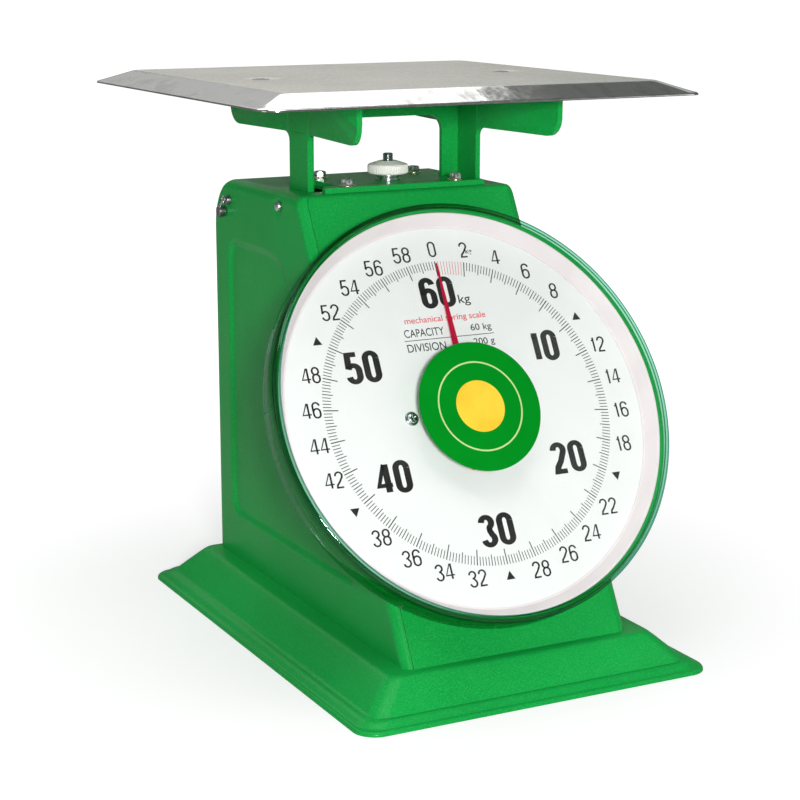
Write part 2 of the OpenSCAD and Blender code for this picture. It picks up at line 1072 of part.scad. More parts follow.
plate_w = 76;
plate_h = 56;
plate_holes = [for (sx = [-1, 1], sy = [-1, 1]) [sx * 32, sy * 22]];
bush_out = 5;
bush_flange = 7;

// Movement plate with a bearing hole and four pillar holes
module movement_plate(z) {
    translate([0, 0, z])
        difference() {
            linear_extrude(plate_t)
                round_rect(plate_w, plate_h, 4);
            translate([0, 0, -1])
                cylinder(r = bush_out, h = plate_t + 2);
            for (p = plate_holes)
                translate([p[0], p[1], -1])
                    cylinder(r = 2.1, h = plate_t + 2);
        }
}

module movement_front_plate() {
    color(zinc)
        at_dial()
            movement_plate(front_plate_at);
}

module movement_rear_plate() {
    color(zinc)
        at_dial()
            movement_plate(rear_plate_at);
}

module movement_pillars() {
    color(zinc)
        at_dial()
            for (p = plate_holes)
                translate([p[0], p[1], 0]) {
                    ring(3.5, 0, rear_plate_at + plate_t, front_plate_at);
                    ring(2.1, 0, rear_plate_at - 3, rear_plate_at + plate_t);
                    ring(2.1, 0, front_plate_at, 0);
                }
}

// Flanged bearing bush seated in a movement plate
module bearing(z, flange_z) {
    ring(bush_out, shaft_r + run_gap, z, z + plate_t);
    ring(bush_flange, shaft_r + run_gap, flange_z, flange_z + 1.2);
}

module front_bearing() {
    color(brass)
        at_dial()
            bearing(front_plate_at, front_plate_at + plate_t);
}

module rear_bearing() {
    color(brass)
        at_dial()
            bearing(rear_plate_at, rear_plate_at - 1.2);
}

module pointer_shaft() {
    color(steel)
        at_dial()
            ring(shaft_r, 0, rear_plate_at - 4, 16);
}

// Point on an involute of the base circle at roll angle t
function involute(base_r, t) = [
    base_r * (cos(t) + t * PI / 180 * sin(t)),
    base_r * (sin(t) - t * PI / 180 * cos(t))
];

// Turns a 2-D point about the origin
function turned(p, a) = [p[0] * cos(a) - p[1] * sin(a), p[0] * sin(a) + p[1] * cos(a)];

press_angle = 20;
backlash = 0.12;

// Spur gear outline with involute flanks, a tooth space facing +X
module gear_outline(teeth, m) {
    pitch_r = teeth * m / 2;
    base_r = pitch_r * cos(press_angle);
    tip_r = pitch_r + 0.9 * m;
    root_r = pitch_r - 1.25 * m;
    tip_roll = sqrt(pow(tip_r / base_r, 2) - 1) * 180 / PI;
    pitch_roll = tan(press_angle) * 180 / PI;
    pitch_turn = pitch_roll - press_angle;
    half_tooth = 90 / teeth - backlash / pitch_r * 180 / PI / 2;
    flank = [for (k = [0:5]) turned(involute(base_r, tip_roll * k / 5), -half_tooth - pitch_turn)];
    points = [
        for (n = [0:teeth - 1])
            let (a = 360 / teeth * (n + 0.5))
            each concat(
                [turned([root_r, 0], a - 180 / teeth)],
                [turned([root_r, 0], a - half_tooth - pitch_turn)],
                [for (p = flank) turned(p, a)],
                [for (k = [5:-1:0]) turned([flank[k][0], -flank[k][1]], a)],
                [turned([root_r, 0], a + half_tooth + pitch_turn)]
            )
    ];
    polygon(points);
}

// The pinion's sleeve fills the room between the two bearings
sleeve_back = gear_at - gear_w / 2 - rear_plate_at - plate_t - joint_gap;
sleeve_front = front_plate_at - joint_gap - gear_at + gear_w / 2;

module pinion() {
    color(brass)
        at_dial()
            translate([0, 0, gear_at - gear_w / 2])
                difference() {
                    union() {
                        linear_extrude(gear_w)
                            gear_outline(pinion_teeth, gear_m);
                        translate([0, 0, -sleeve_back])
                            cylinder(r = 4, h = sleeve_back + sleeve_front);
                    }
                    translate([0, 0, -sleeve_back - 1])
                        cylinder(r = shaft_r, h = sleeve_back + sleeve_front + 2);
                }
}

rack_w = 6;
rack_pitch = PI * gear_m;
rack_teeth = 24;
rack_thick = 2;
rack_top = (rack_teeth - 2) * rack_pitch;

module rack() {
    depth = 0.9 * gear_m;
    root = 1.2 * gear_m;
    tooth = rack_pitch / 4 - backlash / 4;
    slope = tan(press_angle);
    back = rack_x + rack_thick;
    toothed = [
        for (n = [0:rack_teeth - 1])
            let (y = (n - 3) * rack_pitch)
            each [
                [pinion_r + root, y - tooth - root * slope],
                [pinion_r - depth, y - tooth + depth * slope],
                [pinion_r - depth, y + tooth - depth * slope],
                [pinion_r + root, y + tooth + root * slope]
            ]
    ];
    color(brass)
        at_dial()
            translate([0, 0, gear_at - rack_w / 2])
                difference() {
                    linear_extrude(rack_w)
                        polygon(concat(
                            [[pinion_r + root, -rack_pin_down - 6]],
                            toothed,
                            [
                                [pinion_r + root, rack_top],
                                [back, rack_top],
                                [back, -rack_pin_down - 6]
                            ]
                        ));
                    translate([0, -rack_pin_down, rack_w / 2])
                        rod_x(rack_pin_r, pinion_r, rack_x + 12);
                }
}

module rack_pin() {
    color(steel)
        at_dial()
            translate([0, -rack_pin_down, gear_at])
                rod_x(rack_pin_r, pinion_r + 1, drive_x + pillar_t + 1);
}

guide_t = 3;

// Channel on the rear movement plate that the rack slides in
module rack_guide() {
    back = rack_x + rack_thick;
    color(zinc)
        at_dial()
            translate([0, 0, rear_plate_at + plate_t]) {
                reach = gear_at + rack_w / 2 - rear_plate_at - plate_t;
                low = gear_at - rack_w / 2 - rear_plate_at - plate_t - joint_gap;
                translate([back + joint_gap, -plate_h / 2 + 2, 0])
                    cube([guide_t, plate_h - 4, reach]);
                translate([pinion_r + 2, -plate_h / 2 + 2, 0])
                    cube([back + joint_gap + guide_t - pinion_r - 2, plate_h - 4, low]);
            }
}

pointer_at = 14;
pointer_t = 0.8;
pointer_l = 113;
tail_l = 42;

module pointer() {
    color(red)
        at_dial()
            translate([0, 0, pointer_at])
                linear_extrude(pointer_t)
                    difference() {
                        union() {
                            polygon([
                                [-4, -20],
                                [-13, -tail_l + 10],
                                [-13, -tail_l + 3],
                                [-10, -tail_l],
                                [10, -tail_l],
                                [13, -tail_l + 3],
                                [13, -tail_l + 10],
                                [4, -20],
                                [3.4, 0],
                                [2.3, 50],
                                [0.5, pointer_l],
                                [-0.5, pointer_l],
                                [-2.3, 50],
                                [-3.4, 0]
                            ]);
                            circle(r = 7);
                        }
                        circle(r = shaft_r);
                    }
}

module pointer_collar() {
    color(brass)
        at_dial()
            ring(6, shaft_r, pointer_at - 2.4, pointer_at);
}

module pointer_cap() {
    color(brass)
        at_dial()
            difference() {
                ring(5, 0, pointer_at + pointer_t, pointer_at + pointer_t + 2.2);
                cylinder(r = shaft_r, h = 16);
            }
}

// ---------- seal ----------

seal_x = -body_w / 2 - 2.4;
slug_r = 4.2;
slug_gap = 0.4;
slug_w = 6;
slug_dy = 8.6;
slug_dz = -9.5;
wire_thick = 0.5;

// Closed loop of sealing wire through the screw head and the slug
module seal_loop(r) {
    loop_r = sqrt(slug_dy * slug_dy + slug_dz * slug_dz) / 2;
    translate([seal_x, seal_y + slug_dy / 2, seal_z + slug_dz / 2])
        rotate([0, 90, 0])
            rotate_extrude()
                translate([loop_r, 0])
                    circle(r = r);
}

module seal_screw() {
    color(zinc)
        difference() {
            translate([-body_w / 2, seal_y, seal_z])
                rotate([0, -90, 0])
                    pan_screw(3.9, 4.2, 2, 7);
            seal_loop(wire_thick + run_gap);
        }
}

module seal_slug() {
    color(steel)
        difference() {
            translate([-body_w / 2 - slug_gap, seal_y + slug_dy, seal_z + slug_dz])
                rod_x(slug_r, -slug_w, 0);
            seal_loop(wire_thick);
        }
}

module seal_wire() {
    color(zinc)
        seal_loop(wire_thick);
}

base_pan();
casing();
back_cover();
back_cover_screws();
base_screws();
base_nuts();
top_bridge();
bridge_washers();
bridge_screws();
side_screws();
knob_bush();
zero_knob();
zero_stud();
spring_hanger();
upper_spring_plugs();
left_spring();
right_spring();
lower_spring_plugs();
lower_yoke();
left_support();
right_support();
cross_beam();
platter();
platter_screws();
platter_nuts();
guide_pins();
upper_lever();
lower_lever();
upper_lever_pin();
lower_lever_pin();
left_post();
right_post();
travel_stops();
drive_arm();
dial_drum();
drum_screws();
dial_standoffs();
dial_plate();
dial_washers();
dial_screws();
bezel_ring();
lens_cover();
lens_label();
movement_front_plate();
movement_rear_plate();
movement_pillars();
front_bearing();
rear_bearing();
pointer_shaft();
pinion();
pointer();
pointer_collar();
pointer_cap();
rack();
rack_pin();
rack_guide();
seal_screw();
seal_wire();
seal_slug();
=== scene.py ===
import json
from math import copysign, cos, hypot, pi, radians, sin, sqrt, tan

import bmesh
import bpy
from mathutils import Matrix, Vector

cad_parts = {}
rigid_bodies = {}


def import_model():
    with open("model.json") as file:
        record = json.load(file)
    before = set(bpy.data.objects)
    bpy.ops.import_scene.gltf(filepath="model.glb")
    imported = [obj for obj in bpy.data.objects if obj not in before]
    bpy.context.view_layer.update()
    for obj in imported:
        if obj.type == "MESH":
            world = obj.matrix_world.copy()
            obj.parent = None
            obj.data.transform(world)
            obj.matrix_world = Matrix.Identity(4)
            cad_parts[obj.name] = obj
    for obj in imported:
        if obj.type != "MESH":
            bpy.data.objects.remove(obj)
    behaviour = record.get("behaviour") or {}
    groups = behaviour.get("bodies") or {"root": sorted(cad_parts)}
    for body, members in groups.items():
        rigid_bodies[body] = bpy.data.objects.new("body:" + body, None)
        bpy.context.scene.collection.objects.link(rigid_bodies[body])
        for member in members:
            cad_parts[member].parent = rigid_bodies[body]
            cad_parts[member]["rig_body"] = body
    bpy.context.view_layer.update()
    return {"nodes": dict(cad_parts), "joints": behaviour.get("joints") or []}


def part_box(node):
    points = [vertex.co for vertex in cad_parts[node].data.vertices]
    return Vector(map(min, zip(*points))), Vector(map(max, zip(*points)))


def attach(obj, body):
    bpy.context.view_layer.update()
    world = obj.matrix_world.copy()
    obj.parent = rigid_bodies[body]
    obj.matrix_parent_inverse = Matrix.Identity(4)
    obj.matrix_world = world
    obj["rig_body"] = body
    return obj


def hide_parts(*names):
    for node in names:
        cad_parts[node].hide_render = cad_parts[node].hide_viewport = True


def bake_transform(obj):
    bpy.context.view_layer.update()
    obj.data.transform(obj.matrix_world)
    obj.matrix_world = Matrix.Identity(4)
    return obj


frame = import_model()
NODES = frame["nodes"]
MM = 0.001
TAU = 2 * pi


# ---------- materials ----------

def new_material(name):
    """A Principled material and its object coordinates."""
    mat = bpy.data.materials.new(name)
    mat.use_nodes = True
    tree = mat.node_tree
    return mat, tree, tree.nodes["Principled BSDF"], tree.nodes.new("ShaderNodeTexCoord")


def add(tree, kind, values=(), links=()):
    """Adds a shader node with its socket values and incoming links."""
    node = tree.nodes.new("ShaderNode" + kind)
    for socket, value in dict(values).items():
        node.inputs[socket].default_value = value
    for socket, source in dict(links).items():
        tree.links.new(source, node.inputs[socket])
    return node


def noise(tree, coord, scale, detail=2.0, rough=0.5, stretch=None):
    source = coord.outputs["Object"]
    if stretch:
        source = add(tree, "Mapping", {"Scale": stretch}, {"Vector": source}).outputs["Vector"]
    values = {"Scale": scale, "Detail": detail, "Roughness": rough}
    return add(tree, "TexNoise", values, {"Vector": source}).outputs["Fac"]


def span(tree, value, low, high, start=0.3, end=0.7):
    """Maps start to end onto low to high."""
    values = {"From Min": start, "From Max": end, "To Min": low, "To Max": high}
    return add(tree, "MapRange", values, {"Value": value}).outputs["Result"]


def blend_color(tree, factor, a, b):
    """Mixes two colours, each a tuple or a socket."""
    node = tree.nodes.new("ShaderNodeMix")
    node.data_type = "RGBA"
    for socket, value in (("A", a), ("B", b)):
        target = [s for s in node.inputs if s.name == socket and s.type == "RGBA"][0]
        if isinstance(value, tuple):
            target.default_value = (*value, 1.0)
        else:
            tree.links.new(value, target)
    tree.links.new(factor, node.inputs["Factor"])
    return [s for s in node.outputs if s.type == "RGBA"][0]


def dress(tree, shader, color, rough, levels):
    """Links colour and roughness to the shader and sets its plain levels."""
    tree.links.new(color, shader.inputs["Base Color"])
    tree.links.new(rough, shader.inputs["Roughness"])
    for socket, value in levels.items():
        shader.inputs[socket].default_value = value


def bump(tree, shader, height, strength, distance):
    node = add(tree, "Bump", {"Strength": strength, "Distance": distance}, {"Height": height})
    tree.links.new(node.outputs["Normal"], shader.inputs["Normal"])


DUST = (0.10, 0.36, 0.14)


def enamel(name, base, dark, light, speck=0.5, rough=0.32):
    """Sprayed enamel: broad tone drift, fine flake speckle, orange peel and dust."""
    mat, tree, shader, coord = new_material(name)
    drift = span(tree, noise(tree, coord, 7.0, 3.0), 0.0, 1.0)
    flake = span(tree, noise(tree, coord, 900.0, 2.0, 0.7), 0.0, speck, 0.45, 0.75)
    dust = span(tree, noise(tree, coord, 55.0, 6.0, 0.75), 0.0, 0.10, 0.58, 0.8)
    tone = blend_color(tree, flake, blend_color(tree, drift, dark, base), light)
    polish = span(tree, noise(tree, coord, 30.0, 4.0), rough - 0.05, rough + 0.08)
    dress(tree, shader, blend_color(tree, dust, tone, DUST), polish,
          {"Coat Weight": 0.06, "Coat Roughness": 0.1, "Specular IOR Level": 0.12})
    bump(tree, shader, noise(tree, coord, 260.0, 2.0), 0.16, 0.0004)
    return mat


def metal(name, base, dark, rough, grain_scale=500.0, grain_depth=0.15):
    """Bare or plated metal with grain, tarnish spots and uneven polish."""
    mat, tree, shader, coord = new_material(name)
    stain = span(tree, noise(tree, coord, 160.0, 4.0, 0.7), 0.0, 0.4, 0.45, 0.8)
    grain = noise(tree, coord, grain_scale, 3.0, 0.6)
    dress(tree, shader, blend_color(tree, stain, base, dark),
          span(tree, grain, rough * 0.75, rough * 1.35), {"Metallic": 1.0})
    bump(tree, shader, grain, grain_depth, 0.0002)
    return mat


def plastic(name, base, dark, rough, coat=0.0, peel=0.05, gloss=0.2):
    """Moulded or printed surface with a faint tone drift and a fine peel."""
    mat, tree, shader, coord = new_material(name)
    drift = span(tree, noise(tree, coord, 35.0, 4.0), 0.0, 1.0)
    polish = span(tree, noise(tree, coord, 80.0, 3.0), rough * 0.85, rough * 1.2)
    dress(tree, shader, blend_color(tree, drift, base, dark), polish,
          {"Coat Weight": coat, "Specular IOR Level": gloss})
    bump(tree, shader, noise(tree, coord, 600.0, 2.0), peel, 0.0002)
    return mat


def platter_top_material():
    """Rolled stainless sheet: pale warm grey, fine pitting and faint cross marks."""
    mat, tree, shader, coord = new_material("platter_brushed")
    fine = noise(tree, coord, 420.0, 3.0, 0.8)
    cloud = noise(tree, coord, 9.0, 3.0)
    lines = noise(tree, coord, 300.0, 2.0, 0.6, (0.08, 1.0, 1.0))
    tone = blend_color(tree, span(tree, fine, 0.0, 1.0, 0.35, 0.7), (0.42, 0.41, 0.36), (0.72, 0.71, 0.65))
    tone = blend_color(tree, span(tree, cloud, 0.0, 0.45), tone, (0.76, 0.76, 0.71))
    dress(tree, shader, tone, span(tree, lines, 0.36, 0.5), {"Metallic": 0.9})
    bump(tree, shader, fine, 0.25, 0.0002)
    return mat


def platter_skirt_material():
    """Polished skirt: long wavy dark streaks painted into its colour as reflections, polish that varies with
    the same noise, and a wavy bump.
    """
    mat, tree, shader, coord = new_material("platter_polished")
    ripple = noise(tree, coord, 30.0, 3.0, 0.6, (1.0, 1.0, 0.35))
    polish_and_reflection_noise = noise(tree, coord, 60.0, 3.0, 0.6, (1.0, 0.45, 0.4))
    # Painted reflection: the base colour darkens to dark grey along these streaks, standing in for dark
    # surroundings mirrored in the polished metal.
    painted_reflection_streak = span(tree, polish_and_reflection_noise, 0.0, 0.6, 0.5, 0.72)
    tone = blend_color(tree, painted_reflection_streak, (0.88, 0.88, 0.85), (0.34, 0.34, 0.32))
    dress(tree, shader, tone, span(tree, polish_and_reflection_noise, 0.07, 0.2), {"Metallic": 1.0})
    bump(tree, shader, ripple, 0.35, 0.0012)
    return mat


def clear_material(name, tint, gloss_tint, low, high):
    """Clear moulding: see-through, with scuffs and a gloss that grows at grazing angles."""
    mat, tree, shader, coord = new_material(name)
    tree.nodes.remove(shader)
    scuff = span(tree, noise(tree, coord, 240.0, 5.0, 0.8), 0.02, 0.09, 0.5, 0.8)
    gloss = add(tree, "BsdfGlossy", {"Color": (*gloss_tint, 1)}, {"Roughness": scuff})
    through = add(tree, "BsdfTransparent", {"Color": (*tint, 1)})
    weight = add(tree, "LayerWeight", {"Blend": 0.5})
    power = add(tree, "Math", {1: 4.0}, {0: weight.outputs["Facing"]})
    power.operation = "POWER"
    share = span(tree, power.outputs["Value"], low, high, 0.0, 1.0)
    mix = add(tree, "MixShader", (), {"Fac": share, 1: through.outputs["BSDF"], 2: gloss.outputs["BSDF"]})
    tree.links.new(mix.outputs["Shader"], tree.nodes["Material Output"].inputs["Surface"])
    return mat


GREEN = enamel("green_enamel", (0.006, 0.375, 0.060), (0.004, 0.300, 0.044), (0.03, 0.56, 0.14))
DRUM_GREEN = enamel("drum_enamel", (0.008, 0.370, 0.062), (0.005, 0.29, 0.045), (0.05, 0.45, 0.15), 0.3, 0.25)
TOP = platter_top_material()
SKIRT = platter_skirt_material()
ZINC = metal("zinc_plate", (0.70, 0.71, 0.72), (0.40, 0.38, 0.33), 0.24)
BRIGHT = metal("bright_chrome", (0.70, 0.76, 0.76), (0.34, 0.36, 0.34), 0.2, grain_depth=0.05)
WASHER = metal("yellow_zinc", (0.72, 0.63, 0.47), (0.42, 0.33, 0.2), 0.25)
DARK_STEEL = metal("dark_thread_steel", (0.42, 0.48, 0.49), (0.16, 0.19, 0.20), 0.25)
SPRING = metal("spring_wire", (0.42, 0.43, 0.44), (0.2, 0.2, 0.2), 0.28)
BRASS = metal("brass_turned", (0.78, 0.60, 0.28), (0.45, 0.32, 0.14), 0.25)
LEAD = metal("seal_lead", (0.26, 0.25, 0.27), (0.09, 0.085, 0.09), 0.36, grain_depth=0.5, grain_scale=900.0)
KNOB = plastic("knob_plastic", (0.98, 0.97, 0.92), (0.92, 0.90, 0.84), 0.38, 0.2)
DIAL = plastic("dial_paper", (0.89, 0.90, 0.895), (0.865, 0.875, 0.87), 0.5, 0.0, 0.03)
BEZEL = plastic("bezel_plastic", (0.87, 0.80, 0.81), (0.81, 0.74, 0.75), 0.42, 0.05)
INK = plastic("black_ink", (0.012, 0.012, 0.012), (0.03, 0.03, 0.03), 0.45, 0.0, 0.02)
RED_INK = plastic("red_ink", (0.80, 0.02, 0.015), (0.66, 0.02, 0.02), 0.45, 0.0, 0.02)
POINTER = enamel("pointer_red", (0.56, 0.0, 0.035), (0.42, 0.0, 0.03), (0.75, 0.05, 0.09), 0.2, 0.3)
LABEL = plastic("label_green", (0.0, 0.255, 0.013), (0.0, 0.23, 0.012), 0.6, gloss=0.03)
LABEL_SUN = plastic("label_yellow", (0.93, 0.52, 0.03), (0.95, 0.66, 0.05), 0.35, 0.1, 0.03)
LABEL_RING = plastic("label_pale", (0.55, 0.72, 0.30), (0.48, 0.66, 0.26), 0.4, 0.0, 0.03)
RUBBER = plastic("black_rubber", (0.02, 0.02, 0.02), (0.035, 0.035, 0.035), 0.7, 0.0, 0.3)
CLEAR = clear_material("clear_face", (0.99, 0.995, 0.992), (0.9, 1.0, 0.95), 0.012, 0.4)
CLEAR_SKIRT = clear_material("clear_skirt", (0.52, 0.80, 0.66), (0.8, 1.0, 0.9), 0.03, 0.35)
# The corner's dark teal see-through tint is painted shade: it stands in for the dark line that refraction
# draws along the cover's rounded front corner.
CLEAR_CORNER_PAINTED_SHADE = clear_material("clear_corner_painted_shade", (0.17, 0.46, 0.37), (0.5, 0.85, 0.75), 0.06, 0.45)
CLEAR_EDGE = clear_material("clear_edge", (0.60, 0.80, 0.68), (0.95, 1.0, 0.97), 0.35, 0.7)


# ---------- mesh helpers ----------

class Place:
    """Axes and origin of a piece, in millimetres."""

    def __init__(self, origin, ex=(1, 0, 0), ey=(0, 1, 0), ez=(0, 0, 1)):
        self.o, self.x, self.y, self.z = (Vector(v) for v in (origin, ex, ey, ez))

    def at(self, x, y, z):
        return self.o + self.x * x + self.y * y + self.z * z

    def moved(self, x, y, z=0.0):
        """The same axes from another point of this place."""
        return Place(self.at(x, y, z), self.x, self.y, self.z)

    def matrix(self):
        """This place as a transform, in metres."""
        basis = Matrix((self.x, self.y, self.z)).transposed().to_4x4()
        basis.translation = self.o * MM
        return basis


def side_tag(side):
    return "l" if side < 0 else "r"


def make(name, verts, faces, mats, body, slot=None, stands_for=(), smooth=38.0, face_mats=None, merge=0.002):
    mesh = bpy.data.meshes.new(name)
    mesh.from_pydata([tuple(c * MM for c in v) for v in verts], [], faces)
    mats = mats if isinstance(mats, (list, tuple)) else [mats]
    for m in mats:
        mesh.materials.append(m)
    if face_mats:
        for poly, k in zip(mesh.polygons, face_mats):
            poly.material_index = k
    work = bmesh.new()
    work.from_mesh(mesh)
    bmesh.ops.remove_doubles(work, verts=work.verts, dist=merge * MM)
    bmesh.ops.recalc_face_normals(work, faces=work.faces)
    work.to_mesh(mesh)
    work.free()
    return finish_piece(name, mesh, body, stands_for, smooth)


def finish_piece(name, mesh, body, stands_for, smooth):
    mesh.shade_smooth()
    mesh.set_sharp_from_angle(angle=radians(smooth))
    piece = bpy.data.objects.new(name, mesh)
    bpy.context.scene.collection.objects.link(piece)
    if stands_for:
        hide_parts(*stands_for)
    if body:
        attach(piece, body)
    return piece


def refine(node, mat, width):
    """The CAD node's own surface, welded, with rounded edges and a finish."""
    source = NODES[node]
    mesh = source.data.copy()
    mesh.name = node + "_finished"
    mesh.materials.clear()
    mesh.materials.append(mat)
    work = bmesh.new()
    work.from_mesh(mesh)
    bmesh.ops.remove_doubles(work, verts=work.verts, dist=0.005 * MM)
    bmesh.ops.dissolve_limit(work, angle_limit=radians(0.6), verts=work.verts, edges=work.edges)
    bmesh.ops.recalc_face_normals(work, faces=work.faces)
    for face in work.faces:
        face.material_index = 0
    work.to_mesh(mesh)
    work.free()
    piece = finish_piece(mesh.name, mesh, source["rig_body"], [node], 35)
    mod = piece.modifiers.new("edges", "BEVEL")
    mod.width = width * MM
    mod.segments = 2
    mod.limit_method = "ANGLE"
    mod.angle_limit = radians(30)
    mod.harden_normals = False


def lathe(name, profile, place, mats, body, slot, stands_for=(), segs=160, smooth=35, wave=None, kinds=None):
    """Turned piece from a closed profile of (radius, height) points.

    wave changes the radius with the angle, and kinds picks the finish of each band.
    """
    verts, faces, picks = [], [], []
    n = len(profile)
    for i in range(segs):
        a = TAU * i / segs
        for r, z in profile:
            rr = wave(r, z, a) if wave else r
            verts.append(place.at(rr * cos(a), rr * sin(a), z))
    for i in range(segs):
        j = (i + 1) % segs
        for k in range(n):
            m = (k + 1) % n
            faces.append((i * n + k, j * n + k, j * n + m, i * n + m))
            picks.append(kinds[k] if kinds else 0)
    return make(name, verts, faces, mats, body, slot, stands_for, smooth, face_mats=picks)


def rounded(profile, radius, steps=3):
    """Rounds every corner of a closed profile of (radius, height) points."""
    out = []
    n = len(profile)
    for i in range(n):
        p, a, b = (Vector(profile[k % n]) for k in (i, i - 1, i + 1))
        ua, ub = (a - p), (b - p)
        cut = min(radius, ua.length * 0.45, ub.length * 0.45)
        if cut < 1e-4:
            out.append(tuple(p))
            continue
        s, e = p + ua.normalized() * cut, p + ub.normalized() * cut
        for k in range(steps + 1):
            t = k / steps
            q = s * (1 - t) ** 2 + p * 2 * t * (1 - t) + e * t * t
            out.append((q.x, q.y))
    return out


def arc_points(cx, cy, rx, ry, start, end, steps=14):
    out = []
    for k in range(steps + 1):
        a = radians(start + (end - start) * k / steps)
        out.append((cx + rx * cos(a), cy + ry * sin(a)))
    return out


def ease(t):
    """Smooth step from 0 to 1."""
    t = min(max(t, 0.0), 1.0)
    return t * t * (3 - 2 * t)


def ring_loft(rings, cap_start=True, cap_end=True):
    """Joins rings of points, each with the same count, into a skin."""
    verts, faces = [], []
    n = len(rings[0])
    for ring in rings:
        verts.extend(ring)
    for k in range(len(rings) - 1):
        for i in range(n):
            j = (i + 1) % n
            faces.append((k * n + i, k * n + j, (k + 1) * n + j, (k + 1) * n + i))
    if cap_start:
        faces.append(tuple(range(n)))
    if cap_end:
        faces.append(tuple(range((len(rings) - 1) * n, len(rings) * n)))
    return verts, faces


def round_ring(center, side, up, radius, n):
    """Circle of n points about a centre."""
    angles = [TAU * i / n for i in range(n)]
    return [center + (side * cos(a) + up * sin(a)) * radius for a in angles]


def cutter_mesh(name, work):
    mesh = bpy.data.meshes.new(name)
    work.to_mesh(mesh)
    work.free()
    return mesh


def box_cutter(name, low, high):
    """Box for a boolean cut, in millimetres."""
    work = bmesh.new()
    bmesh.ops.create_cube(work, size=1.0)
    for v in work.verts:
        v.co = Vector([(low[k] + (v.co[k] + 0.5) * (high[k] - low[k])) * MM for k in range(3)])
    return cutter_mesh(name, work)


def round_cutter(name, place, low, high, r_low, r_high, segments=64):
    """Cylinder or cone along a place's z for a boolean cut, in millimetres."""
    work = bmesh.new()
    bmesh.ops.create_cone(work, cap_ends=True, segments=segments, radius1=r_low, radius2=r_high,
                          depth=high - low)
    for v in work.verts:
        v.co = place.at(v.co.x, v.co.y, v.co.z + (low + high) / 2) * MM
    return cutter_mesh(name, work)


def apply_all(piece):
    """Bakes the modifiers into the mesh."""
    graph = bpy.context.evaluated_depsgraph_get()
    baked = bpy.data.meshes.new_from_object(piece.evaluated_get(graph))
    piece.modifiers.clear()
    piece.data = baked


def subtract(piece, meshes, smooth):
    """Cuts meshes out of a piece, bakes the result and marks its sharp edges again."""
    holders = []
    for k, mesh in enumerate(meshes):
        holder = bpy.data.objects.new("cut%d" % k, mesh)
        bpy.context.scene.collection.objects.link(holder)
        mod = piece.modifiers.new("cut%d" % k, "BOOLEAN")
        mod.operation = "DIFFERENCE"
        mod.solver = "EXACT"
        mod.object = holder
        holders.append(holder)
    bpy.context.view_layer.update()
    apply_all(piece)
    for holder in holders:
        bpy.data.objects.remove(holder)
    piece.data.set_sharp_from_angle(angle=radians(smooth))


# ---------- sizes taken from the CAD, in millimetres ----------

def mm_box(node):
    low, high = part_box(node)
    return [c / MM for c in low], [c / MM for c in high]


def mm_middle(node):
    low, high = mm_box(node)
    return [(a + b) / 2 for a, b in zip(low, high)]


LEAN = radians(29.0)
SL, CL = sin(LEAN), cos(LEAN)
spin = [j for j in frame["joints"] if j["name"] == "pointer_spin"][0]
DIAL_O = Vector(spin["pos_m"]) / MM
DIAL_AT = Place(DIAL_O, (1, 0, 0), (0, SL, CL), (0, -CL, SL))
case_low, case_high = mm_box("casing")
pan_low, pan_high = mm_box("base_pan")
plate_low, plate_high = mm_box("platter")
knob_low, knob_high = mm_box("zero_knob")
BASE_H = pan_high[2]
BODY_TOP = case_high[2]
BODY_REAR = case_high[1]
BODY_FRONT = case_low[1]
HALF = case_high[0]
BRIDGE_TOP = mm_box("top_bridge")[1][2]
STUD_Y = (knob_low[1] + knob_high[1]) / 2
SIDE_SCREW = mm_middle("side_screws")

# ---------- driving sizes of the finer pieces, in millimetres ----------

SHEET = 1.5                        # casing sheet
SIDE_R, REAR_R, FRONT_R = 8.0, 40.0, 6.0   # rounded edges of the casing's top
EDGE_R, BACK_R = 8.0, 5.0          # upright edges of the casing, front and back
PILLAR_X, PILLAR_Y = 63.0, 34.0    # middle of each pillar's slot
SLOT_X, SLOT_Y = 11.5, 18.5        # half sizes of that slot
STUD_HOLE_R = 8.0
SHAFT_HOLE_R = 20.0
BRIDGE_SPOTS = ((-45, 8), (45, 8), (-40, 66), (40, 66))
WASHER_T = 1.2
PLATTER_SCREW_X = 100.0
PLATE_FACE = 10.6                  # dial plate's face, above the casing's front
INK_FACE = PLATE_FACE + 0.05
TICK_R = 113.4                     # outer ends of the division marks
POINTER_BACK = 14.0
COVER_R, COVER_FACE = 154.9, 27.6


def lean_y(z):
    return BODY_FRONT + (z - BASE_H) * tan(LEAN)


# ---------- rings with round corners ----------

def square_to_round(u, v, hx, hy, r):
    """Maps a point of the square [-1, 1] to a rounded rectangle."""
    x, y = u * hx, v * hy
    ax, ay = abs(x) - (hx - r), abs(y) - (hy - r)
    if ax > 0 and ay > 0:
        a, b = ax / r, ay / r
        x = copysign(hx - r + r * a * sqrt(1 - b * b / 2), x)
        y = copysign(hy - r + r * b * sqrt(1 - a * a / 2), y)
    return x, y


def corner_ring(hx, hy, r, arc):
    """Rounded rectangle as a ring of points with arc steps per corner."""
    r = max(r, 0.05)
    corners = ((hx - r, r - hy), (hx - r, hy - r), (r - hx, hy - r), (r - hx, r - hy))
    out = []
    for k, (cx, cy) in enumerate(corners):
        out += arc_points(cx, cy, r, r, 90 * k - 90, 90 * k, arc)
    return out


# ---------- base pan ----------

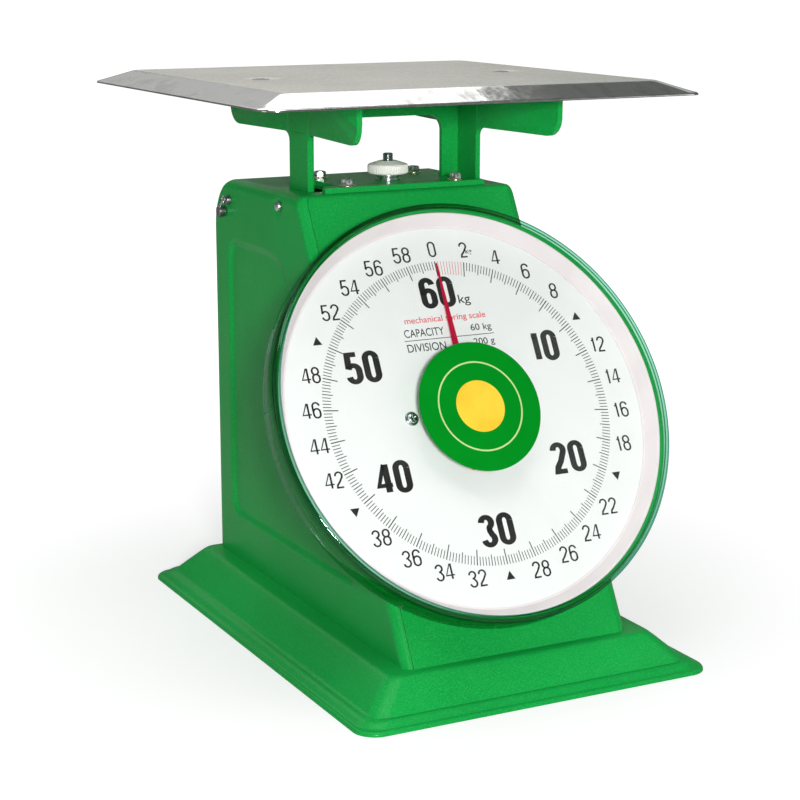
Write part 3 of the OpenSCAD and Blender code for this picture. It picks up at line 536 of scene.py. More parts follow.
def base_pan():
    """Pressed pan: rolled rim, crease, slope and deck, as (inset, height) points."""
    cy = (pan_low[1] + pan_high[1]) / 2
    hx, hy = (pan_high[0] - pan_low[0]) / 2, (pan_high[1] - pan_low[1]) / 2
    outer = [(0.0, 0.0), (0.0, 0.8), (0.15, 1.6), (0.6, 2.4), (1.2, 2.9), (2.0, 3.1), (2.8, 3.1),
             (3.6, 3.3), (4.6, 4.1), (6.4, 5.7), (7.8, 6.7), (9.2, 7.2), (11.0, 7.45), (12.6, 7.7),
             (14.0, 8.7), (15.6, 10.5), (20.0, 14.6), (28.0, 21.9), (32.6, 25.8), (33.8, 26.7),
             (35.0, 27.3), (36.4, 27.65), (38.0, BASE_H)]
    thick = 1.4
    inner = [(i + thick * 0.9, max(z - thick * 0.95, 0.0)) for i, z in reversed(outer)]
    rings = []
    for inset, z in outer + inner:
        inset_y = inset * (28.0 / 35.0) if inset > 12 else inset
        r = 16.5 - min(inset, 36) * 0.2
        rings.append([(x, y + cy, z) for x, y in corner_ring(hx - inset, hy - inset_y, r, 14)])
    count, n = len(outer), len(rings[0])
    verts, faces = ring_loft(rings[:count], False, True)
    more_verts, more_faces = ring_loft(rings[count:], True, False)
    base = len(verts)
    verts += more_verts
    faces += [tuple(i + base for i in f) for f in more_faces]
    last = len(verts) - n
    faces += [(i, (i + 1) % n, last + (i + 1) % n, last + i) for i in range(n)]
    make("base_pan_pressed", verts, faces, GREEN, "frame", "green_paint", ["base_pan"], smooth=60)


# ---------- casing ----------

RECESS = dict(low=62.0, high=286.0, rear=131.0, inset=50.0, depth=2.4, soft=6.5, corner=15.0)


def recess_depth(y, z):
    """How deep the pressed side panel is at this point."""
    q = RECESS
    edges = [z - q["low"], q["high"] - z, q["rear"] - y, (y - lean_y(z) - q["inset"]) * CL]
    bevel_z = q["high"] - 16
    bevel_y = lean_y(bevel_z) + q["inset"]
    edges.append(((y - bevel_y) * 16 - (z - bevel_z) * 22) / hypot(16, 22))
    gaps = sorted((q["corner"] - e for e in edges if e < q["corner"]), reverse=True)[:2]
    return q["depth"] * ease((q["corner"] - hypot(*gaps, 0)) / q["soft"])


def casing_levels():
    """Heights of the casing's rings, closer together where the shape bends."""
    levels = [BASE_H, BASE_H + 0.6, BASE_H + 1.4, BASE_H + 3]
    z = BASE_H + 6
    while z < BODY_TOP - 41:
        levels.append(z)
        z += 3.0
    levels += [RECESS["low"] + k for k in range(-1, 12)]
    levels += [RECESS["high"] - k for k in range(-1, 22)]
    for radius, step in ((REAR_R, 4), (SIDE_R, 9)):
        levels += [BODY_TOP - radius + radius * sin(radians(a)) for a in range(0, 91, step)]
    levels.sort()
    keep = [levels[0]]
    for z in levels[1:]:
        if z - keep[-1] > 0.25:
            keep.append(z)
    keep[-1] = BODY_TOP
    return keep


def drawn_in(z, radius):
    """How far a wall has come in at this height, by the rounded edge above it."""
    rise = z - (BODY_TOP - radius)
    return radius - sqrt(max(radius ** 2 - rise ** 2, 0)) if rise > 0 else 0


def side_steps(start, end):
    """Places along a side wall from front to back, closer together at the panel's edges."""
    front = [start + off for off in [0, 3, 8, 14, 20, 27, 34, 38, 41, *range(42, 56), 58, 62, 68, 76]]
    tail = [end - off for off in [0, 5, 10, 14, 17]]
    panel = [138, 136, *range(133, 120, -1), 118, 112]
    rear = [y for y in panel if front[-1] + 3 < y < tail[-1] - 1]
    if len(rear) < len(panel):
        high = min(tail[-1] - 1, 138)
        low = max(front[-1] + 3, min(112, high - 6))
        rear = [high + (low - high) * k / (len(panel) - 1) for k in range(len(panel))]
    fill = [front[-1] + (rear[-1] - front[-1]) * k / 21 for k in range(1, 21)]
    return front + fill + rear[::-1] + tail[::-1]


def casing_ring(z):
    """Outline of the casing at this height, the same count of points at every height."""
    hx = HALF - drawn_in(z, SIDE_R)
    rear = BODY_REAR - drawn_in(z, REAR_R)
    bend_z = BODY_TOP - FRONT_R
    bend_y = BODY_FRONT + (FRONT_R + (bend_z - BASE_H) * SL) / CL
    front = lean_y(z)
    if z > bend_z + FRONT_R * SL:
        front = bend_y - sqrt(max(FRONT_R ** 2 - (z - bend_z) ** 2, 0))
    sink = HALF - hx
    r = max(EDGE_R - sink, 0.6)
    back_r = max(BACK_R - sink, 0.6)
    seam = {4: -0.2, 9: 1.1, 30: -0.15}
    half = [((hx - r) * k / 25, front) for k in range(1, 25)]
    for a in (0, 4, 7, 9, 11, 16, 24, 30, 36, 48, 60, 70, 80, 90):
        rr = r - seam.get(a, 0) * min(1.0, r / 6)
        t = radians(-90 + a)
        half.append((hx - r + rr * cos(t), front + r + rr * sin(t)))
    half += [(hx - recess_depth(y, z), y) for y in side_steps(front + r, rear - back_r)[1:-1]]
    half += arc_points(hx - back_r, rear - back_r, back_r, back_r, 0, 90, 6)
    half += [((hx - back_r) * (1 - k / 11), rear) for k in range(1, 11)]
    right = [(x, y, z) for x, y in half]
    left = [(-x, y, z) for x, y in reversed(half)]
    return [(0, front, z)] + right + [(0, rear, z)] + left


def casing():
    rings = [casing_ring(z) for z in casing_levels()]
    verts, faces = ring_loft(rings, False, True)
    piece = make("casing_pressed", verts, faces, GREEN, "frame", "green_paint", ["casing"],
                 smooth=40, merge=0.0001)
    mod = piece.modifiers.new("sheet", "SOLIDIFY")
    mod.thickness = SHEET * MM
    mod.offset = -1
    cuts = []
    for side in (1, -1):
        x = side * PILLAR_X
        cuts.append(box_cutter("slot", (x - SLOT_X, PILLAR_Y - SLOT_Y, BODY_TOP - 9),
                               (x + SLOT_X, PILLAR_Y + SLOT_Y, BODY_TOP + 4)))
    cuts.append(box_cutter("window", (-75, BODY_REAR - 8, BASE_H + 16), (75, BODY_REAR + 4, 282)))
    cuts.append(round_cutter("stud_hole", Place((0, STUD_Y, BODY_TOP)), -4, 3, STUD_HOLE_R, STUD_HOLE_R))
    cuts.append(round_cutter("shaft_hole", DIAL_AT, -5, 2, SHAFT_HOLE_R, SHAFT_HOLE_R))
    for side in (-1, 1):
        inward = Place((side * (HALF + 0.1), *SIDE_SCREW[1:]), (0, 0, side), (0, 1, 0), (-side, 0, 0))
        cuts.append(round_cutter("dimple", inward, -1.5, 1.5, 12.5, 4.7, 48))
    bpy.context.view_layer.update()
    apply_all(piece)
    subtract(piece, cuts, 40)


# ---------- platter ----------

def platter():
    """Pressed plate: a fine grid with two dishes for its screws, then the skirt ring by ring."""
    hx = (plate_high[0] - plate_low[0]) / 2
    cy = (plate_low[1] + plate_high[1]) / 2
    low, top = plate_low[2], plate_high[2]
    n = 110
    flat = hx - 23.5 - 2.5

    def height(x, y):
        gaps = (hypot(x - sx, y - cy) for sx in (-PLATTER_SCREW_X, PLATTER_SCREW_X))
        return top - sum(1.35 * ease((17.5 - gap) / 8.5) for gap in gaps)

    verts, faces, kinds = [], [], []
    for i in range(n + 1):
        for j in range(n + 1):
            x, y = square_to_round(2 * i / n - 1, 2 * j / n - 1, flat, flat, 7.0)
            verts.append((x, y + cy, height(x, y + cy)))
    for i in range(n):
        for j in range(n):
            a = i * (n + 1) + j
            faces.append((a, a + n + 1, a + n + 2, a + 1))
            kinds.append(0)
    steps = [2 * k / n - 1 for k in range(n)]
    edge = [(t, -1) for t in steps] + [(1, t) for t in steps]
    edge += [(-t, 1) for t in steps] + [(-1, -t) for t in steps]
    previous = [round((u + 1) / 2 * n) * (n + 1) + round((v + 1) / 2 * n) for u, v in edge]
    skirt = [(24.6, top - 0.10, 0), (23.0, top - 0.45, 1), (21.0, top - 1.15, 1), (14.0, top - 3.75, 1),
             (7.0, top - 6.3, 1), (2.4, top - 7.9, 1), (1.0, top - 8.3, 1), (0.25, top - 8.8, 1),
             (0.0, top - 9.4, 1), (0.0, low, 1), (0.9, low, 1), (1.2, low + 0.9, 1), (2.2, low + 1.5, 1),
             (22.5, top - 1.9, 1), (26.0, top - 1.2, 1)]
    for inset, z, kind in skirt:
        start, m = len(verts), len(edge)
        r = 13.5 - min(inset, 26) * 0.25
        for u, v in edge:
            x, y = square_to_round(u, v, hx - inset, hx - inset, r)
            verts.append((x, y + cy, z))
        ring = list(range(start, start + m))
        faces += [(previous[k], ring[k], ring[(k + 1) % m], previous[(k + 1) % m]) for k in range(m)]
        kinds += [kind] * m
        previous = ring
    faces.append(tuple(previous))
    kinds.append(0)
    make("platter_pressed", verts, faces, [TOP, SKIRT], "platform", "stainless", ["platter"],
         smooth=50, face_mats=kinds, merge=0.0001)


# ---------- dial print ----------

def text_mesh(text, height, width, offset, place, x, y, w, verts, faces, align="CENTER"):
    """Adds the flat outline of a generic numeral or word to a mesh."""
    curve = bpy.data.curves.new("word", "FONT")
    curve.body = text
    curve.size = 1.0
    curve.offset = offset
    curve.resolution_u = 6
    holder = bpy.data.objects.new("word", curve)
    bpy.context.scene.collection.objects.link(holder)
    bpy.context.view_layer.update()
    graph = bpy.context.evaluated_depsgraph_get()
    mesh = bpy.data.meshes.new_from_object(holder.evaluated_get(graph))
    xs = [v.co.x for v in mesh.vertices]
    ys = [v.co.y for v in mesh.vertices]
    sx, sy = width / (max(xs) - min(xs)), height / (max(ys) - min(ys))
    shift = {"CENTER": (max(xs) + min(xs)) / 2, "LEFT": min(xs), "RIGHT": max(xs)}[align]
    mid = (max(ys) + min(ys)) / 2
    start = len(verts)
    for v in mesh.vertices:
        verts.append(place.at(x + (v.co.x - shift) * sx, y + (v.co.y - mid) * sy, w))
    for poly in mesh.polygons:
        faces.append(tuple(start + i for i in poly.vertices))
    bpy.data.objects.remove(holder)
    bpy.data.curves.remove(curve)
    bpy.data.meshes.remove(mesh)


def digit_strokes(d, w, h):
    """Centre lines of a plain condensed numeral in a box w by h."""
    r = w / 2
    c = 0.54 * h
    bowl = arc_points(r, r, r, r, 180, 360)
    if d == "0":
        return [arc_points(r, h - r, r, r, 0, 180) + bowl + [(w, h - r)]]
    if d == "1":
        return [[(0.62 * w, 0), (0.62 * w, h + 0.05 * w)],
                [(0.62 * w, h - 0.16 * h), (0.10 * w, h - 0.20 * h)]]
    if d == "2":
        foot = [(0.55 * w, 0.38 * h), (0.12 * w, 0.16 * h), (0.04 * w, 0), (w, 0)]
        return [arc_points(r, h - r, r, r, 180, -25) + foot]
    if d == "3":
        upper = arc_points(r, h - 0.48 * w, r * 0.96, 0.48 * w, 175, -60)
        lower = arc_points(r, r, r, r, 50, -175)
        return [upper + [(0.62 * w, c), (0.42 * w, c)], [(0.42 * w, c), (0.66 * w, c)] + lower]
    if d == "4":
        return [[(0.80 * w, 0), (0.80 * w, h)],
                [(0.68 * w, h), (-0.08 * w, 0.25 * h), (1.2 * w, 0.25 * h)]]
    if d == "5":
        flag = [(0.96 * w, h), (0.14 * w, h), (0.06 * w, 0.50 * h)]
        return [flag + arc_points(r, 0.60 * h - r, r, r, 160, 0) + arc_points(r, r, r, r, 0, -175)]
    if d == "6":
        return [arc_points(r, h - r, r, r, 5, 180) + bowl + arc_points(r, 0.60 * h - r, r, r, 0, 165)]
    if d == "7":
        return [[(0, h), (w, h), (0.62 * w, 0.5 * h), (0.36 * w, 0)]]
    if d == "8":
        q = 0.47 * w
        waist = arc_points(r, c + q * 0.9, q, q * 0.9, 180, 360)
        upper = arc_points(r, h - q, q, q, 0, 180) + waist + [(r + q, h - q)]
        return [upper, arc_points(r, c - r * 0.9, r, r * 0.9, 0, 180) + bowl + [(w, c - r * 0.9)]]
    return [[(w - x, h - y) for x, y in digit_strokes("6", w, h)[0]]]


def stroke(points, thick, flat, put, verts, faces):
    """Flat band of even width along a line, thinner where the line runs sideways."""
    n = len(points)
    start = len(verts)
    for k, (x, y) in enumerate(points):
        before = Vector(points[max(k - 1, 0)])
        here = Vector((x, y))
        after = Vector(points[min(k + 1, n - 1)])
        d1 = (here - before).normalized() if k else (after - here).normalized()
        d2 = (after - here).normalized() if k < n - 1 else d1
        mean = (d1 + d2)
        mean = mean.normalized() if mean.length > 0.2 else d1
        spread = 1 / max(mean.dot(d1), 0.6)
        normal = Vector((-mean.y * thick / 2, mean.x * flat / 2)) * spread
        if k == 0 or k == n - 1:
            normal = Vector((-mean.y * thick / 2, mean.x * flat / 2))
        verts.append(put(here.x + normal.x, here.y + normal.y))
        verts.append(put(here.x - normal.x, here.y - normal.y))
    for k in range(n - 1):
        a = start + 2 * k
        faces.append((a, a + 1, a + 3, a + 2))


def number(text, height, wide, thick, flat, gap, place, x, y, w, verts, faces):
    """Plain condensed numerals, centred on x and y."""
    widths = [wide * 0.62 if d == "1" else wide for d in text]
    left = x - (sum(widths) + gap * (len(text) - 1)) / 2
    for d, width in zip(text, widths):
        box_w, box_h = (wide * 0.7 if d == "1" else width) - thick, height - flat
        shift = -0.12 * box_w if d == "1" else 0
        corner = (left + thick / 2 + shift, y - box_h / 2)
        for k, line in enumerate(digit_strokes(d, box_w, box_h)):
            slim_x, slim_y = (0.62, 0.85) if d == "4" and k else (1.0, 1.0)
            stroke(line, thick * slim_x, flat * slim_y,
                   lambda u, v: place.at(corner[0] + u, corner[1] + v, w), verts, faces)
        left += width + gap


def bar(place, angle, r0, r1, width, w, verts, faces):
    c, s = cos(angle), sin(angle)
    start = len(verts)
    for r, side in ((r0, -1), (r1, -1), (r1, 1), (r0, 1)):
        verts.append(place.at(r * c - side * width / 2 * s, r * s + side * width / 2 * c, w))
    faces.append((start, start + 1, start + 2, start + 3))


def mark_triangle(place, x, y, angle, size, w, verts, faces):
    """Small arrowhead at a tenth, pointing inwards."""
    start = len(verts)
    for k in range(3):
        a = angle + pi + TAU * k / 3
        verts.append(place.at(x + size * cos(a), y + size * sin(a), w))
    faces.append((start, start + 1, start + 2))


def dial_print():
    """Division marks, numbers and a few generic words, as thin meshes just above the plate."""
    w = INK_FACE
    mid = DIAL_AT.moved(0.8, 2.2)
    black, red = ([], []), ([], [])
    for k in range(300):
        angle = pi / 2 - TAU * k / 300
        reach, width = (11.2, 0.75) if k % 10 == 0 else (8.0, 0.62) if k % 5 == 0 else (6.4, 0.55)
        if 0 < k < 10:
            bar(mid, angle, TICK_R - 10.4, TICK_R, 0.36, w, *red)
        else:
            bar(mid, angle, TICK_R - reach, TICK_R, width, w, *black)
    for value in range(0, 60, 2):
        angle = pi / 2 - TAU * value / 60
        c, s = cos(angle), sin(angle)
        if value % 10 == 0 and value:
            r = 1.078 * TICK_R
            mark_triangle(mid, r * c, r * s, angle, 4.1, w, *black)
        else:
            r = 1.083 * TICK_R + (2.0 * c if c > 0 else 0.6 * c)
            number(str(value), 12.0, 6.5, 1.45, 1.2, 1.2, mid, r * c, r * s, w, *black)
    for value, x, y in ((10, 74, 44), (20, 70.5, -41), (30, -1, -86), (40, -71, -39), (50, -75, 42),
                        (60, -3, 92)):
        number(str(value), 23.6, 13.2, 5.0, 3.6, 1.4, DIAL_AT, x, y, w, *black)
    text_mesh("kg", 5.2, 5.4, 0.008, DIAL_AT, 30.5, 121.0, w, *black)
    for text, height, width, x, y, align in (
            ("kg", 8.8, 9.6, 17.5, 84.5, "CENTER"), ("CAPACITY", 6.0, 32.0, -37.0, 63.0, "LEFT"),
            ("60 kg", 6.6, 17.0, 34.0, 62.6, "RIGHT"), ("DIVISION", 6.0, 31.0, -37.0, 52.0, "LEFT"),
            ("200 g", 6.6, 17.0, 34.0, 51.6, "RIGHT")):
        text_mesh(text, height, width, 0.004, DIAL_AT, x, y, w, *black, align=align)
    bar(DIAL_AT.moved(0, 57.6), 0.0, -38.0, 35.0, 0.5, w, *black)
    text_mesh("mechanical spring scale", 6.0, 66.0, 0.004, DIAL_AT, -1.5, 71.8, w, *red)
    make("dial_print_black", *black, INK, "frame", "dial_white", smooth=180, merge=0.00001)
    make("dial_print_red", *red, RED_INK, "frame", "dial_white", smooth=180, merge=0.00001)


# ---------- dial housing ----------

def dial_housing():
    """Drum with a bead and a rolled lip, dial plate and conical inner ring."""
    drum = [(20, 0), (149, 0), (150.4, 0.5), (151.5, 1.6), (152, 3), (152, 10.8), (152.3, 11.1),
            (152.6, 11.6), (152.6, 12.4), (152.3, 12.9), (152, 13.2), (152, 19.8), (152.6, 20.4),
            (152.75, 21.1), (152.4, 21.75), (151.4, 22.0), (150.2, 21.8), (149.6, 21.2), (149.5, 20.4),
            (150.8, 19.8), (150.8, 3.4), (150.2, 2.2), (148.8, 1.2), (20, 1.2)]
    lathe("drum_pressed", drum, DIAL_AT, DRUM_GREEN, "frame", "green_paint", ["dial_drum"], segs=320)
    plate = [(5, 9.8), (143, 9.8), (143, PLATE_FACE), (5, PLATE_FACE)]
    lathe("dial_face_plate", plate, DIAL_AT, DIAL, "frame", "dial_white", ["dial_plate"], segs=320)
    cone = rounded([(141, 10.6), (143, 10.6), (149.3, 20.2), (149.3, 21.6), (148.4, 21.9), (147.4, 20.9),
                    (142.4, 11.8), (141, 11.8)], 0.4)
    lathe("bezel_moulded", cone, DIAL_AT, BEZEL, "frame", "bezel_white", ["bezel_ring"], segs=320)


def lens_cover():
    """Clear cover with a soft front corner, and slits beside its four snap tabs."""
    r, top = COVER_R, COVER_FACE
    inner = r - 2.0
    inside = [(inner, 5.6), (inner, top - 3.2), (inner - 0.5, top - 2.3), (inner - 1.6, top - 2.0),
              (0.0, top - 2.0)]
    outside = [(0.0, top), (r - 5.2, top), (r - 4.6, top - 0.12), (r - 4.0, top - 0.05), (r - 2.6, top - 0.2),
               (r - 1.2, top - 0.8), (r - 0.35, top - 1.8), (r, top - 3.1), (r, 6.4), (r - 0.3, 5.8),
               (r - 0.9, 5.6)]
    # Kind 2, the rounded front corner, takes the dark teal tint, which is painted shade standing in for
    # refraction.
    kinds = [1, 1, 1, 0, 0] + [0, 2, 2, 1, 2, 2, 2, 1, 3, 3, 3]
    lens = lathe("lens_moulded", inside + outside, DIAL_AT, [CLEAR, CLEAR_SKIRT, CLEAR_CORNER_PAINTED_SHADE, CLEAR_EDGE],
                 "frame", "clear_cover", ["lens_cover"], segs=320, smooth=50, kinds=kinds)
    cuts = []
    for tab in (0, 90, 180, 270):
        for off in (-6.5, 6.5):
            mesh = box_cutter("slit", (inner - 2, -0.6, 4.0), (r + 2, 0.6, 13.6))
            mesh.transform(DIAL_AT.matrix() @ Matrix.Rotation(radians(tab + off), 4, "Z"))
            cuts.append(mesh)
    subtract(lens, cuts, 50)


def lens_label():
    """Plain round label: a green disc, a yellow disc and a pale ring."""
    low, high = mm_box("lens_label")
    x, y, z = mm_middle("lens_label")
    at = DIAL_AT.moved(x, (y - DIAL_O.y) * SL + (z - DIAL_O.z) * CL)
    r, face = (high[0] - low[0]) / 2, COVER_FACE
    disc = [(0.0, face + 0.02), (r - 0.1, face + 0.02), (r, face + 0.12), (r - 0.15, face + 0.26),
            (r - 0.6, face + 0.28), (0.0, face + 0.28)]
    lathe("label_disc", disc, at, LABEL, "frame", "label_green", ["lens_label"], segs=200)
    for name, r0, r1, mat in (("label_sun", 0.0, 19.0, LABEL_SUN), ("label_line", 32.0, 33.2, LABEL_RING)):
        band = [(r0, face + 0.285), (r1, face + 0.285), (r1, face + 0.298), (r0, face + 0.298)]
        lathe(name, band, at, mat, "frame", "label_green")


def pointer():
    """Folded strip with a ridge, as (height, half width, ridge) stations."""
    w = POINTER_BACK
    stations = [(-42, 10, 0.5), (-39, 13, 0.55), (-32, 13, 0.6), (-26, 8.5, 0.9), (-20, 4.2, 1.2),
                (0, 3.4, 1.3), (50, 2.4, 1.2), (113, 0.45, 0.7)]
    rings = []
    for y, half, ridge in stations:
        rings.append([DIAL_AT.at(-half, y, w), DIAL_AT.at(-half, y, w + 0.45), DIAL_AT.at(0, y, w + ridge),
                      DIAL_AT.at(half, y, w + 0.45), DIAL_AT.at(half, y, w), DIAL_AT.at(0, y, w + 0.05)])
    make("pointer_folded", *ring_loft(rings), POINTER, "pointer", "pointer_red", ["pointer"], smooth=10)


# ---------- screws, knob, stud ----------

def hex_head(name, place, apothem, height, shank_r, shank_l, stands_for):
    """Hexagon head with a chamfered crown, a shallow dished top and its shank."""
    n = 60
    dish = height - 0.5
    radii = [apothem / cos((TAU * i / n) % (TAU / 6) - TAU / 12) for i in range(n)]
    rows = [[(shank_r, -shank_l)] * n, [(shank_r, 0.0)] * n]
    rows += [[(r * 0.985, 0.0) for r in radii], [(r, 0.25) for r in radii]]
    rows.append([(r, height - 0.25 - (r - apothem) * 0.9) for r in radii])
    rows.append([(min(r, apothem * 0.985), height - 0.08) for r in radii])
    for share, z in ((0.90, height), (0.72, height), (0.62, dish), (0.0, dish)):
        rows.append([(apothem * share, z)] * n)
    turns = [(cos(TAU * i / n), sin(TAU * i / n)) for i in range(n)]
    rings = [[place.at(r * c, r * s, z) for (c, s), (r, z) in zip(turns, row)] for row in rows]
    make(name, *ring_loft(rings, True, False), BRIGHT, "frame", "zinc_steel", stands_for, smooth=28)


def pan_head(name, place, radius, height, body, mat, stands_for, shank_r=1.9, shank_l=5.0):
    """Domed head with a cut cross."""
    dome = [(1.0, 0.25), (0.97, height * 0.45), (0.86, height * 0.74), (0.62, height * 0.93), (0.3, height)]
    prof = [(0.0, -shank_l), (shank_r, -shank_l), (shank_r, 0.0), (radius - 0.15, 0.0)]
    prof += [(radius * share, z) for share, z in dome] + [(0.0, height)]
    piece = lathe(name, prof, place, mat, body, "zinc_steel", stands_for, segs=56)
    long, wide = radius * 0.58, radius * 0.12
    cuts = []
    for turn in (0.3, 0.3 + pi / 2):
        mesh = box_cutter("cross", (-long, -wide, height * 0.35), (long, wide, height + 1))
        mesh.transform(place.matrix() @ Matrix.Rotation(turn, 4, "Z"))
        cuts.append(mesh)
    subtract(piece, cuts, 30)


def threaded_rod(name, place, r, bottom, thread, top, pitch, body, mat, stands_for):
    """Rod with a real helical thread from thread to the top, plain below."""
    around, per = 40, 8
    steps = int((top - 0.6 - thread) / pitch * per)
    heights = [bottom, bottom + 0.4, thread - 1.0]
    heights += [thread + pitch * k / per for k in range(steps + 1)] + [top - 0.45, top]
    rings = []
    for z in heights:
        ring = []
        for i in range(around):
            a = TAU * i / around
            phase = ((z - thread) / pitch - a / TAU) % 1.0
            depth = 0.62 * (1 - abs(2 * phase - 1)) * min(1.0, max(0.0, (z - thread) / 1.5))
            rr = r - (0.8 if z in (bottom, top) else min(depth, 0.52))
            ring.append(place.at(rr * cos(a), rr * sin(a), z))
        rings.append(ring)
    make(name, *ring_loft(rings), mat, body, "zinc_steel", stands_for, smooth=50)


def knob_and_stud():
    at = Place((0, STUD_Y, 0))
    z = knob_low[2]
    r = (knob_high[0] - knob_low[0]) / 2
    prof = rounded([(4.05, z), (r - 1.2, z), (r, z + 1.1), (r, z + 6.3), (r - 0.9, z + 7.3), (8.2, z + 9.3),
                    (7.0, z + 9.75), (4.6, z + 9.75), (4.05, z + 9.2)], 0.5)

    def ribs(radius, height, angle):
        if radius > r - 0.5 and z + 0.9 < height < z + 6.8:
            return radius - 0.28 * (0.5 + 0.5 * cos(64 * angle))
        return radius

    lathe("knob_moulded", prof, at, KNOB, "knob", "white_plastic", ["zero_knob"], segs=512, wave=ribs)
    b = BRIDGE_TOP
    bush = rounded([(4.05, b - 8), (7, b - 8), (7, b), (9.4, b), (9.4, b + 1.3), (8.4, b + 1.7),
                    (8.4, b + 2.6), (9.2, b + 3.0), (9.2, b + 4.5), (4.05, b + 4.5)], 0.25)
    lathe("bush_turned", bush, at, BRIGHT, "frame", "zinc_steel", ["knob_bush"], segs=96)
    low, high = mm_box("zero_stud")
    threaded_rod("stud_threaded", at, 4.0, low[2], low[2] + 30, high[2], 1.25, "hanger", DARK_STEEL,
                 ["zero_stud"])


def top_screws():
    washer = rounded([(2.6, 0), (6.2, 0), (6.2, 0.7), (5.0, 0.8), (4.9, WASHER_T), (2.6, WASHER_T)], 0.15)
    for k, (x, y) in enumerate(BRIDGE_SPOTS):
        tag = side_tag(x) + ("f" if y < 20 else "b")
        c, s = cos(0.35 * x), sin(0.35 * x)
        at = Place((x, y, BRIDGE_TOP + WASHER_T), (c, s, 0), (-s, c, 0))
        hex_head("bridge_screw_" + tag, at, 4.05, 4.0, 2.5, 10.0, [] if k else ["bridge_screws"])
        lathe("bridge_washer_" + tag, washer, Place((x, y, BRIDGE_TOP)), WASHER, "frame", "zinc_steel",
              [] if k else ["bridge_washers"], segs=64)


def small_screws():
    """Left and right screws of the casing, dial plate and platter; the left one stands for the node."""
    low, high = mm_box("dial_screws")
    dial_x = (high[0] - low[0]) / 2 - 3.7
    cup = rounded([(2.0, 0), (5.4, 0), (5.3, 0.35), (4.6, 0.9), (3.8, 0.75), (2.0, 0.75)], 0.12)
    for side in (-1, 1):
        tag = side_tag(side)

        def node(name):
            return [name] if side < 0 else []

        out = Place((side * (HALF - 1.2), *SIDE_SCREW[1:]), (0, -side, 0), (0, 0, 1), (side, 0, 0))
        pan_head("side_screw_" + tag, out, 4.0, 3.0, "frame", BRIGHT, node("side_screws"))
        lathe("dial_washer_" + tag, cup, DIAL_AT.moved(side * dial_x, 1.0, PLATE_FACE), BRIGHT, "frame",
              "zinc_steel", node("dial_washers"), segs=64)
        pan_head("dial_screw_" + tag, DIAL_AT.moved(side * dial_x, 1.0, PLATE_FACE + 0.7), 3.6, 2.0,
                 "frame", BRIGHT, node("dial_screws"))
        at = Place((side * PLATTER_SCREW_X, mm_middle("platter_screws")[1], plate_high[2] - 1.4))
        pan_head("platter_screw_" + tag, at, 6.6, 1.3, "platform", LEAD, node("platter_screws"), 3.0, 11.0)


# ---------- supports ----------

def along(points, k):
    """Direction of a line of points at point k."""
    return (Vector(points[min(k + 1, len(points) - 1)]) - Vector(points[max(k - 1, 0)])).normalized()


def weld_bead(name, points, radius, body):
    """Small painted weld along a line of points, in millimetres."""
    rings = []
    for k, p in enumerate(points):
        t = along(points, k)
        side = t.cross(Vector((0, 0, 1)) if abs(t.z) < 0.9 else Vector((1, 0, 0))).normalized()
        end = sin(pi * min(k, len(points) - 1 - k, 3) / 6)
        swell = radius * (0.9 + 0.12 * sin(k * 2.1) + 0.07 * sin(k * 5.3)) * (0.25 + 0.75 * end)
        rings.append(round_ring(Vector(p), side, side.cross(t), swell, 10))
    make(name, *ring_loft(rings), GREEN, body, "green_paint", smooth=80)


def supports():
    """Pillars and cross beam, with the welds that join them."""
    for node in ("left_support", "right_support", "cross_beam"):
        refine(node, GREEN, 0.55)
    for side in (-1, 1):
        tag = side_tag(side)
        arm = [(side * 72.0, 18.5 + 31 * k / 24, 372.6 + 0.15 * sin(k * 1.7)) for k in range(25)]
        weld_bead("arm_weld_" + tag, arm, 0.7, "platform")
        fold = [(side * 72.05, 18.0, 374.0 + 36 * k / 20) for k in range(21)]
        weld_bead("fold_weld_" + tag, fold, 0.35, "platform")
        beam = [(side * 67.2, 45.4, 384 + 26 * k / 16) for k in range(17)]
        weld_bead("beam_weld_" + tag, beam, 1.0, "platform")


# ---------- seal ----------

def tube(name, points, radius, mat, body, slot, stands_for=()):
    """Round wire along a line of points."""
    rings = []
    side = None
    for k, p in enumerate(points):
        t = along(points, k)
        side = side or t.orthogonal()
        side = (side - t * side.dot(t)).normalized()
        rings.append(round_ring(Vector(p), side, t.cross(side), radius, 10))
    return make(name, *ring_loft(rings), mat, body, slot, stands_for, smooth=80)


